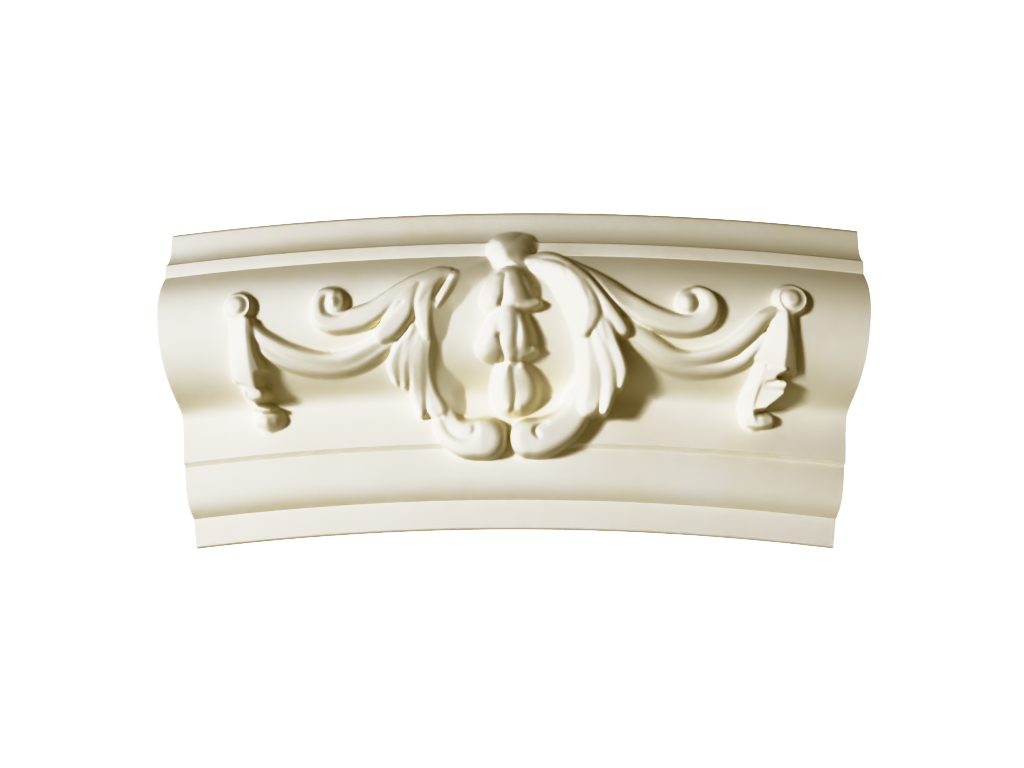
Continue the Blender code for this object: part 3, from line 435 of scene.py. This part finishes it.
RIGHT_TASSEL = (
    ((119.8, 21.5, 6.0), (119.2, 8.0, 7.2), (118.3, -5.0, 9.6), (111.2, -1.8, 6.0), (106.5, 0.7, 3.6),
     (110.4, 10.0, 3.2), (114.3, 18.3, 3.0), (114.8, 21.5, 3.0)),
    ((119.8, 21.5, 6.0), (124.2, 20.5, 3.0), (124.8, 8.0, 3.0), (125.4, 0.0, 3.5), (126.4, -5.5, 4.5),
     (122.0, -5.2, 7.5), (118.3, -5.0, 9.6)),
    ((109.4, -2.0, 6.5), (120.0, -3.4, 10.4), (120.3, -4.8, 10.4), (116.5, -7.0, 9.6), (113.2, -8.3, 8.8),
     (107.8, -11.5, 6.8)),
    ((112.0, -7.0, 8.6), (120.4, -7.6, 12.2), (120.9, -9.5, 12.8), (120.7, -14.3, 13.2), (117.7, -17.5, 12.0),
     (113.9, -20.7, 10.0), (108.0, -20.6, 7.0), (104.8, -18.0, 5.0), (105.2, -13.0, 5.6), (107.8, -8.5, 6.8)),
)
RIGHT_FOLDS = (
    ("soft", ((110.5, -2.0, 4.0, 6.5), (110.0, -8.0, 4.6, 8.0), (108.6, -15.0, 5.4, 8.2), (108.2, -21.0, 5.6, 7.4),
              (109.4, -26.0, 5.2, 5.4))),
    ("strap", ((107.6, -25.4, 3.4, 5.0), (112.4, -25.8, 3.6, 6.0), (115.8, -25.4, 3.2, 5.6))),
)

# %% Cuts: creases and slits, with rows of x, z, half width and depth
CUTS = (
    ((-9.4, 37.6, 0.8, 0.4), (-8.6, 40.8, 0.9, 0.9), (-5.5, 43.4, 0.9, 1.2), (-1.0, 44.0, 0.9, 1.0),
     (3.4, 42.6, 0.8, 0.5)),
    ((-2.6, 38.4, 0.6, 0.7), (-3.1, 33.0, 0.6, 1.2), (-3.2, 29.0, 0.7, 1.4), (-4.4, 25.0, 0.9, 2.0)),
    ((4.0, 39.6, 1.1, 0.4), (6.0, 33.5, 1.2, 0.6), (8.6, 28.4, 1.1, 0.5)),
    ((-4.9, 10.9, 1.1, 2.4), (-4.4, 8.0, 0.6, 1.4), (-3.6, 4.0, 0.6, 1.6), (-4.0, 0.8, 1.3, 3.2)),
    ((2.2, 20.0, 1.1, 0.4), (2.8, 15.0, 1.2, 0.6), (2.2, 10.0, 1.2, 0.6), (1.8, 6.4, 1.0, 0.5)),
    ((-0.4, -1.5, 0.7, 0.4), (0.8, -7.5, 0.9, 0.4), (1.4, -13.5, 0.9, 0.5), (1.0, -18.0, 0.8, 0.5),
     (-0.2, -21.4, 0.7, 0.5)),
    ((-27.4, 38.0, 0.7, 1.2), (-31.2, 33.0, 0.8, 2.0), (-33.6, 27.7, 0.7, 1.4)),
    ((-40.5, 35.0, 0.9, 0.4), (-42.1, 29.0, 1.0, 0.6), (-42.7, 23.5, 0.9, 0.7), (-41.8, 18.6, 0.9, 0.8),
     (-39.9, 13.7, 0.8, 1.0)),
    ((-47.9, 26.5, 0.8, 0.6), (-52.1, 22.2, 0.9, 1.0), (-57.0, 18.0, 0.9, 1.2), (-61.8, 15.8, 0.8, 1.2)),
    ((-45.1, 16.7, 0.8, 1.2), (-47.3, 13.1, 0.8, 1.6), (-50.3, 10.0, 0.8, 1.6)),
    ((-44.8, 11.0, 1.1, 0.2), (-47.8, 4.0, 1.1, 0.3), (-49.7, -1.7, 1.0, 0.4), (-50.3, -8.8, 0.9, 0.9)),
    ((-41.7, 8.8, 1.1, 0.2), (-44.0, 4.0, 1.1, 0.3), (-45.6, -1.7, 1.0, 0.4), (-46.1, -9.6, 0.9, 0.9)),
    ((-37.5, 9.0, 1.0, 0.3), (-38.1, 1.0, 1.1, 0.35), (-39.0, -8.0, 1.1, 0.4), (-39.3, -16.0, 1.0, 0.5),
     (-39.3, -23.4, 0.9, 1.0)),
    ((-30.6, -26.0, 1.6, 0.5), (-27.4, -30.6, 1.7, 0.9), (-22.4, -33.0, 1.7, 1.1), (-18.0, -32.0, 1.6, 1.2),
     (-16.2, -29.2, 1.5, 1.1), (-17.0, -27.0, 1.4, 0.7)),
    ((15.6, -26.4, 0.8, 1.6), (13.2, -27.4, 0.9, 2.2), (10.9, -28.6, 0.9, 2.4), (10.4, -30.4, 0.9, 2.2),
     (11.6, -32.2, 0.9, 1.2)),
    ((31.4, 27.0, 0.9, 0.3), (31.0, 22.0, 0.9, 0.6), (30.2, 17.0, 0.9, 0.8), (29.6, 13.4, 0.8, 1.0)),
    ((32.6, 35.6, 0.9, 0.4), (36.4, 29.0, 0.9, 0.7), (38.8, 24.6, 0.9, 0.7), (40.4, 20.6, 0.8, 0.5)),
    ((36.8, 25.6, 1.1, 0.3), (41.6, 18.9, 1.1, 0.5), (46.4, 12.6, 1.0, 0.4)),
    ((34.1, 40.4, 0.8, 0.5), (37.6, 35.0, 0.8, 0.9), (41.8, 29.2, 0.8, 1.2), (45.8, 24.4, 0.8, 1.4),
     (49.2, 20.0, 0.8, 1.2)),
    ((41.1, 7.6, 1.1, 0.4), (44.2, 0.6, 1.1, 0.7), (46.1, -4.9, 1.1, 0.9), (46.6, -10.3, 0.9, 1.4)),
    ((36.6, 9.1, 1.1, 0.4), (38.2, 2.4, 1.1, 0.7), (39.9, -3.2, 1.1, 0.9), (40.9, -9.0, 1.1, 1.1),
     (40.3, -15.3, 1.0, 1.3), (39.1, -21.6, 0.9, 1.6)),
    ((20.0, 40.0, 1.2, 0.4), (22.0, 35.8, 1.2, 0.6), (24.7, 30.6, 1.2, 0.6), (26.5, 24.7, 1.2, 0.4)),
    ((23.5, 41.3, 1.1, 0.4), (26.2, 32.7, 1.1, 0.6), (28.0, 23.6, 1.1, 0.5)),
    ((-81.7, 28.0, 1.0, 0.6), (-81.4, 23.6, 1.0, 0.8), (-78.9, 21.2, 1.0, 0.8), (-75.2, 21.0, 1.0, 0.8),
     (-72.1, 23.3, 0.9, 0.8)),
    ((80.6, 29.0, 0.9, 0.8), (81.9, 27.0, 1.0, 1.6), (81.7, 23.4, 1.0, 1.6), (79.0, 20.8, 0.9, 0.8),
     (74.6, 20.8, 0.9, 0.5)),
    ((113.0, -9.2, 0.9, 1.2), (117.0, -8.6, 1.0, 3.0), (121.5, -7.6, 1.0, 4.0)),
    ((110.0, -11.2, 1.0, 0.3), (115.0, -12.4, 1.0, 0.8), (119.8, -12.9, 1.0, 1.0)),
)
print("cuts:", len(CUTS))


# %% [markdown]
# ## The field of heights
#
# All strokes go on one after another, then the panels, then the cuts. A light blur at the end does what the
# rubber mould and the paint do: it takes the last sharpness off every edge. The field is worked out on a
# regular grid, and read between its cells.

# %% The relief as one field
def relief_strokes():
    sides = LEFT_SWAG + RIGHT_SWAG + LEFT_ARM + RIGHT_ARM + LEFT_FOLDS + RIGHT_FOLDS
    rosettes = rosette(*ROSETTES[0]) + rosette(*ROSETTES[1])
    leaves = LEFT_SCROLL + RIGHT_SCROLL + LEFT_LEAF + RIGHT_LEAF
    return sides + rosettes + leaves + KNOB + UPPER_BELL + LOWER_BELL + BUD


def blurred(field, cells):
    """Softens the field by a bell curve over this many cells."""
    reach = math.ceil(3 * cells)
    bell = np.exp(-0.5 * (np.arange(-reach, reach + 1) / cells) ** 2)
    bell /= bell.sum()
    for axis in (0, 1):
        wide = np.pad(field, [(reach, reach) if axis == a else (0, 0) for a in (0, 1)], mode="edge")
        field = np.apply_along_axis(np.convolve, axis, wide, bell, "valid")
    return field


class Relief:
    """The carving as a field of heights over the face, read between its cells."""

    def __init__(self, pitch, edge):
        half_width = math.ceil(OUTER_RADIUS * math.sin(HALF_ANGLE)) + 4
        self.low = np.array([-half_width, -FACE_HEIGHT / 2 - 14.0])
        self.pitch = pitch
        count = np.ceil((np.array([half_width, FACE_HEIGHT / 2 + 4.0]) - self.low) / pitch).astype(int) + 1
        grid = np.meshgrid(*(self.low[i] + pitch * np.arange(count[i]) for i in (0, 1)), indexing="ij")
        x, z = (places.ravel() for places in grid)
        height = np.zeros(x.size)
        for shape, rows in relief_strokes():
            carve(height, x, z, shape, rows)
        for corners in LEFT_TASSEL + RIGHT_TASSEL:
            lay_panel(height, x, z, corners)
        for rows in CUTS:
            carve(height, x, z, None, rows)
        self.field = blurred(height.reshape(grid[0].shape), edge / pitch)

    def at(self, x, z):
        u = (x - self.low[0]) / self.pitch
        v = (z - self.low[1]) / self.pitch
        i = np.clip(u.astype(int), 0, self.field.shape[0] - 2)
        j = np.clip(v.astype(int), 0, self.field.shape[1] - 2)
        u, v = u - i, v - j
        f = self.field
        return (
            f[i, j] * (1 - u) * (1 - v)
            + f[i + 1, j] * u * (1 - v)
            + f[i, j + 1] * (1 - u) * v
            + f[i + 1, j + 1] * u * v
        )


RELIEF_PITCH = 0.4
RELIEF_EDGE = 0.45
relief = Relief(RELIEF_PITCH, RELIEF_EDGE)
print("relief:", relief.field.shape, "cells, highest", round(relief.field.max(), 1), "mm above the section")

# %% [markdown]
# ## From field to casting
#
# A grid with one column for each step round the ring and one row for each step down the face is moved onto
# the surface. Most of the plain moulding needs few faces and the carving needs many, so a Decimate modifier
# then spends the faces where the surface bends. Last, the rim is pulled back to the wall plane and closed.

# %% The face as an open sheet
COLUMN_PITCH = 0.55
ROW_PITCH = 0.55
FACE_TRIANGLES = 180000


def face_points(angle, depth, reach):
    """The place of each face point, from its angle round the ring, its depth down the face and its reach."""
    radius = OUTER_RADIUS - depth
    x = radius * np.sin(angle)
    z = CENTRE_Z + radius * np.cos(angle)
    carving = relief.at(x, z)
    reach = reach + np.minimum(carving / COVER, 1.0) * (ground_at(depth) - reach)
    return np.stack([x, -(reach + carving), z], -1) * MM


def face_sheet(column_pitch, row_pitch):
    """The carved face as an open sheet, its columns set out by angle and its rows by depth."""
    depths, reaches = section_rows(row_pitch)
    rows = len(depths) - 1
    columns = math.ceil(2 * HALF_ANGLE * OUTER_RADIUS / column_pitch)
    bm = bmesh.new()
    bmesh.ops.create_grid(bm, x_segments=columns, y_segments=rows, size=0.5)
    column = np.rint((np.array([vert.co.x for vert in bm.verts]) + 0.5) * columns)
    row = np.rint((0.5 - np.array([vert.co.y for vert in bm.verts])) * rows).astype(int)
    angle = (2 * column / columns - 1) * HALF_ANGLE
    for vert, place in zip(bm.verts, face_points(angle, depths[row], reaches[row])):
        vert.co = place
    bmesh.ops.triangulate(bm, faces=bm.faces)
    mesh = bpy.data.meshes.new("carved_face")
    bm.to_mesh(mesh)
    bm.free()
    return mesh


def reduced(mesh, triangles):
    """The sheet with larger triangles where it is flatter, down to this many."""
    helper = bpy.data.objects.new("helper", mesh)
    bpy.context.scene.collection.objects.link(helper)
    helper.modifiers.new("Decimate", "DECIMATE").ratio = triangles / len(mesh.polygons)
    graph = bpy.context.evaluated_depsgraph_get()
    result = bpy.data.meshes.new_from_object(helper.evaluated_get(graph))
    bpy.data.objects.remove(helper)
    return result


sheet = face_sheet(COLUMN_PITCH, ROW_PITCH)
print("sheet:", len(sheet.polygons), "triangles before the reduction")
sheet = reduced(sheet, FACE_TRIANGLES)
print("sheet:", len(sheet.polygons), "triangles after it")

# %% The ends, the edges and the back
END_SNAP = math.radians(0.02)
SHARP_ANGLE = math.radians(40)
FACE_SLOT, CUT_SLOT = 0, 1


def onto_end(place):
    """Puts a rim point that lies by an end exactly in that end's radial plane."""
    centre = Vector((0.0, 0.0, CENTRE_Z * MM))
    arm = place - centre
    angle = math.atan2(arm.x, arm.z)
    if HALF_ANGLE - abs(angle) > END_SNAP:
        return place
    radius = math.hypot(arm.x, arm.z)
    end = math.copysign(HALF_ANGLE, angle)
    return Vector((radius * math.sin(end), place.y, centre.z + radius * math.cos(end)))


def is_sawn(face):
    """True for the two ends, which a saw cut, and for the flat back."""
    return face.normal.y > 0.9 or abs(face.normal.x) > 0.9


def backed(mesh):
    """Closes the sheet with its edges, its two end cuts and the flat back at y = 0."""
    bm = bmesh.new()
    bm.from_mesh(mesh)
    rim = [edge for edge in bm.edges if edge.is_boundary]
    for vert in {vert for edge in rim for vert in edge.verts}:
        vert.co = onto_end(vert.co)
    new = bmesh.ops.extrude_edge_only(bm, edges=rim)["geom"]
    walls = [item for item in new if isinstance(item, bmesh.types.BMFace)]
    for vert in (item for item in new if isinstance(item, bmesh.types.BMVert)):
        vert.co.y = 0.0
    back = [item for item in new if isinstance(item, bmesh.types.BMEdge) and item.is_boundary]
    closing = bmesh.ops.contextual_create(bm, geom=back)["faces"]
    bmesh.ops.recalc_face_normals(bm, faces=bm.faces)
    for face in (*walls, *closing):
        face.material_index = CUT_SLOT if is_sawn(face) else FACE_SLOT
    bmesh.ops.triangulate(bm, faces=[face for face in bm.faces if len(face.verts) > 3])
    bm.to_mesh(mesh)
    bm.free()
    return mesh


casting = backed(sheet)
casting.shade_smooth()
casting.set_sharp_from_angle(angle=SHARP_ANGLE)
moulding = bpy.data.objects.new("moulding_casting", casting)
bpy.context.scene.collection.objects.link(moulding)
print("casting:", len(casting.polygons), "triangles")

# %% [markdown]
# ## Finishes
#
# The face is rigid polyurethane foam under a matt ivory primer, sprayed on in the factory. Primer on foam
# gives the eye three things: a soft, wide highlight, a very fine pebbling where the spray dried, and a hint
# of unevenness in the tone. Where the saw went through, the bare foam shows: yellower, duller, and full of
# pores. Colours are written as sRGB hex and turned to linear light, and pattern scales come from real sizes.

# %% Two helpers: a colour and a node
def linear(hex_colour):
    """An sRGB hex value as linear red, green, blue and full alpha."""
    parts = [int(hex_colour[i : i + 2], 16) / 255 for i in (1, 3, 5)]
    return (*(c / 12.92 if c <= 0.04045 else ((c + 0.055) / 1.055) ** 2.4 for c in parts), 1.0)


def add_node(tree, kind, values=(), links=(), **settings):
    """Adds a node with its own settings, plain values on its sockets and links into them."""
    node = tree.nodes.new(kind)
    for name, value in settings.items():
        setattr(node, name, value)
    for socket, value in dict(values).items():
        node.inputs[socket].default_value = value
    for socket, source in dict(links).items():
        tree.links.new(source, node.inputs[socket])
    return node


def blank_material(name):
    """A material with nodes, cleared down to its output, and that output."""
    material = bpy.data.materials.new(name)
    material.use_nodes = True
    material.node_tree.nodes.clear()
    return material, add_node(material.node_tree, "ShaderNodeOutputMaterial")


def per_metre(size_mm):
    """The scale that gives a noise features of this size, on Object coordinates in metres."""
    return 1.0 / (size_mm * MM)


print("ivory in linear light:", [round(part, 3) for part in linear("#F2EEDF")])

# %% Matt ivory primer on the face
PRIMER_LIGHT = "#F3EFE2"
PRIMER_WARM = "#EEE8D5"
TONE_PATCH = 45.0
SPRAY_PEBBLE = 1.1
SKIN_WAVE = 9.0


def primed_foam_material():
    material, output = blank_material("matt_ivory_primer")
    tree = material.node_tree
    place = add_node(tree, "ShaderNodeTexCoord").outputs["Object"]
    patch = add_node(
        tree, "ShaderNodeTexNoise", {"Scale": per_metre(TONE_PATCH), "Detail": 3.0, "Roughness": 0.55}, {"Vector": place}
    )
    tone = add_node(
        tree,
        "ShaderNodeMix",
        {6: linear(PRIMER_LIGHT), 7: linear(PRIMER_WARM)},
        {0: patch.outputs["Fac"]},
        data_type="RGBA",
    )
    pebble = add_node(tree, "ShaderNodeTexNoise", {"Scale": per_metre(SPRAY_PEBBLE), "Detail": 2.0}, {"Vector": place})
    wave = add_node(tree, "ShaderNodeTexNoise", {"Scale": per_metre(SKIN_WAVE), "Detail": 2.0}, {"Vector": place})
    rough = add_node(
        tree,
        "ShaderNodeMapRange",
        {"From Min": 0.3, "From Max": 0.7, "To Min": 0.52, "To Max": 0.66},
        {"Value": pebble.outputs["Fac"]},
    )
    skin = add_node(tree, "ShaderNodeBump", {"Strength": 0.5, "Distance": 0.25 * MM}, {"Height": wave.outputs["Fac"]})
    spray = add_node(
        tree,
        "ShaderNodeBump",
        {"Strength": 0.35, "Distance": 0.06 * MM},
        {"Height": pebble.outputs["Fac"], "Normal": skin.outputs["Normal"]},
    )
    shader = add_node(
        tree,
        "ShaderNodeBsdfPrincipled",
        {"Metallic": 0.0, "IOR": 1.47},
        {
            "Base Color": tone.outputs[2],
            "Roughness": rough.outputs["Result"],
            "Normal": spray.outputs["Normal"],
        },
    )
    tree.links.new(shader.outputs["BSDF"], output.inputs["Surface"])
    return material


primer = primed_foam_material()
print("material:", primer.name)

# %% Bare foam where the saw went through, and on the back
FOAM_PALE = "#E9DFBE"
# FOAM_DARK is the painted shade at the bottom of the pores, and also the darker end of the random tone patches
FOAM_DARK = "#CDBE93"
PORE_SIZE = 0.9


def sawn_foam_material():
    material, output = blank_material("sawn_polyurethane_foam")
    tree = material.node_tree
    place = add_node(tree, "ShaderNodeTexCoord").outputs["Object"]
    pores = add_node(tree, "ShaderNodeTexVoronoi", {"Scale": per_metre(PORE_SIZE)}, {"Vector": place})
    patch = add_node(tree, "ShaderNodeTexNoise", {"Scale": per_metre(14.0), "Detail": 4.0}, {"Vector": place})
    depth = add_node(
        tree,
        "ShaderNodeMapRange",
        {"From Min": 0.0, "From Max": 0.45, "To Min": 0.0, "To Max": 1.0},
        {"Value": pores.outputs["Distance"]},
    )
    # painted shade: the foam is darker towards the bottom of each pore pit, multiplied by random tone patches
    pit_shade_and_patch = add_node(
        tree,
        "ShaderNodeMath",
        {},
        {0: depth.outputs["Result"], 1: patch.outputs["Fac"]},
        operation="MULTIPLY",
    )
    tone = add_node(
        tree,
        "ShaderNodeMix",
        {6: linear(FOAM_DARK), 7: linear(FOAM_PALE)},
        {0: pit_shade_and_patch.outputs["Value"]},
        data_type="RGBA",
    )
    pitted = add_node(tree, "ShaderNodeBump", {"Strength": 0.6, "Distance": 0.3 * MM}, {"Height": depth.outputs["Result"]})
    shader = add_node(
        tree,
        "ShaderNodeBsdfPrincipled",
        {"Roughness": 0.86, "Metallic": 0.0, "IOR": 1.5},
        {"Base Color": tone.outputs[2], "Normal": pitted.outputs["Normal"]},
    )
    tree.links.new(shader.outputs["BSDF"], output.inputs["Surface"])
    return material


foam = sawn_foam_material()
casting.materials.append(primer)
casting.materials.append(foam)
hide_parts("curved_moulding")
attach(moulding, "root")
print("material:", foam.name)

# %% [markdown]
# ## The studio
#
# The photograph was taken square on, from a little below, on white. One lamp stands to the left, hardly
# above the middle of the piece, so that the carving throws long shadows to the right. A weak warm fill
# keeps the shadows brown and not black. A pale floor lies well below, where it can't catch a shadow.

# %% Camera
CAMERA_TARGET = Vector((-0.7, 0.0, -6.5)) * MM
CAMERA_AZIMUTH = math.radians(1.11)
CAMERA_ELEVATION = math.radians(-4.0)
CAMERA_ROLL = math.radians(0.14)
CAMERA_DISTANCE = 450.0 * MM
IMAGE_WIDTH = 1024
FOCAL_PIXELS = 923.0
SENSOR_WIDTH = 36.0


def direction(azimuth, elevation):
    """The unit vector from the piece to a viewer, azimuth to the right of square on."""
    return Vector((
        math.sin(azimuth) * math.cos(elevation),
        -math.cos(azimuth) * math.cos(elevation),
        math.sin(elevation),
    ))


def photo_camera():
    outward = direction(CAMERA_AZIMUTH, CAMERA_ELEVATION)
    right = (-outward).cross(Vector((0.0, 0.0, 1.0))).normalized()
    up = right.cross(-outward)
    turned = Matrix((right, up, outward)).transposed() @ Matrix.Rotation(-CAMERA_ROLL, 3, "Z")
    lens = bpy.data.cameras.new("photo_camera")
    lens.sensor_width = SENSOR_WIDTH
    lens.lens = FOCAL_PIXELS * SENSOR_WIDTH / IMAGE_WIDTH
    camera = bpy.data.objects.new("photo_camera", lens)
    camera.matrix_world = Matrix.Translation(CAMERA_TARGET + outward * CAMERA_DISTANCE) @ turned.to_4x4()
    bpy.context.scene.collection.objects.link(camera)
    return camera


bpy.context.scene.camera = photo_camera()
print("lens:", round(bpy.context.scene.camera.data.lens, 1), "mm")

# %% Lamps, sky and floor
KEY_AZIMUTH = math.radians(-43.0)
KEY_ELEVATION = math.radians(6.0)
KEY_DISTANCE = 3.0
KEY_SIZE = 0.50
KEY_POWER = 60.0
KEY_COLOUR = (0.79, 0.83, 1.0)
FILL_COLOUR = (0.76, 0.82, 1.0, 1.0)
FILL_STRENGTH = 0.07
FLOOR_DROP = 0.6
FLOOR_SIZE = 12.0


def lamp(name, azimuth, elevation, distance, size, power, colour):
    light = bpy.data.lights.new(name, "AREA")
    light.shape = "DISK"
    light.size = size
    light.energy = power
    light.color = colour
    outward = direction(azimuth, elevation)
    holder = bpy.data.objects.new(name, light)
    holder.location = outward * distance
    holder.rotation_euler = outward.to_track_quat("Z", "Y").to_euler()
    bpy.context.scene.collection.objects.link(holder)
    return holder


def white_to_the_camera(tree, seen, others):
    """Mixes two shaders: one that the camera sees, and one that lights the piece."""
    ray = add_node(tree, "ShaderNodeLightPath").outputs["Is Camera Ray"]
    return add_node(tree, "ShaderNodeMixShader", {}, {0: ray, 1: others, 2: seen}).outputs[0]


def studio_sky():
    world = bpy.data.worlds.new("studio")
    world.use_nodes = True
    tree = world.node_tree
    tree.nodes.clear()
    white = add_node(tree, "ShaderNodeBackground", {"Color": (1, 1, 1, 1), "Strength": 1.0})
    fill = add_node(tree, "ShaderNodeBackground", {"Color": FILL_COLOUR, "Strength": FILL_STRENGTH})
    mixed = white_to_the_camera(tree, white.outputs[0], fill.outputs[0])
    add_node(tree, "ShaderNodeOutputWorld", {}, {"Surface": mixed})
    bpy.context.scene.world = world


def studio_floor():
    bm = bmesh.new()
    bmesh.ops.create_grid(bm, x_segments=1, y_segments=1, size=FLOOR_SIZE / 2)
    bmesh.ops.translate(bm, verts=bm.verts, vec=(0.0, 0.0, -FLOOR_DROP))
    mesh = bpy.data.meshes.new("studio_floor")
    bm.to_mesh(mesh)
    bm.free()
    floor = bpy.data.objects.new("studio_floor", mesh)
    material, output = blank_material("white_paper_floor")
    tree = material.node_tree
    paper = add_node(tree, "ShaderNodeBsdfDiffuse", {"Color": linear("#F4F2EC")})
    glow = add_node(tree, "ShaderNodeEmission", {"Color": (1, 1, 1, 1), "Strength": 1.0})
    mixed = white_to_the_camera(tree, glow.outputs[0], paper.outputs[0])
    tree.links.new(mixed, output.inputs["Surface"])
    mesh.materials.append(material)
    bpy.context.scene.collection.objects.link(floor)


lamp("key_lamp", KEY_AZIMUTH, KEY_ELEVATION, KEY_DISTANCE, KEY_SIZE, KEY_POWER, KEY_COLOUR)
studio_sky()
studio_floor()

# %% [markdown]
# The photograph has the look of a print: firm contrast in the middle tones, a soft shoulder that keeps the
# lights from burning out, and shadows that turn browner as they darken. In it, green and blue fall off
# faster than red, each as a fixed power. A brown material would turn the lights brown too, so this belongs
# in the film's curves: one response from light to tone, and one power of it for each colour.

# %% The film's curves
FILM_RESPONSE = ((0.07, 0.055), (0.165, 0.15), (0.36, 0.45), (0.54, 0.86), (0.75, 0.95))
FILM_POWER = (1.0, 1.16, 1.72)

film = bpy.context.scene.view_settings
film.view_transform = "Standard"
film.use_curve_mapping = True
for curve, power in zip(film.curve_mapping.curves, FILM_POWER):
    for light, tone in FILM_RESPONSE:
        curve.points.new(light, tone**power)
film.curve_mapping.update()
print("film powers of red, green and blue:", FILM_POWER)
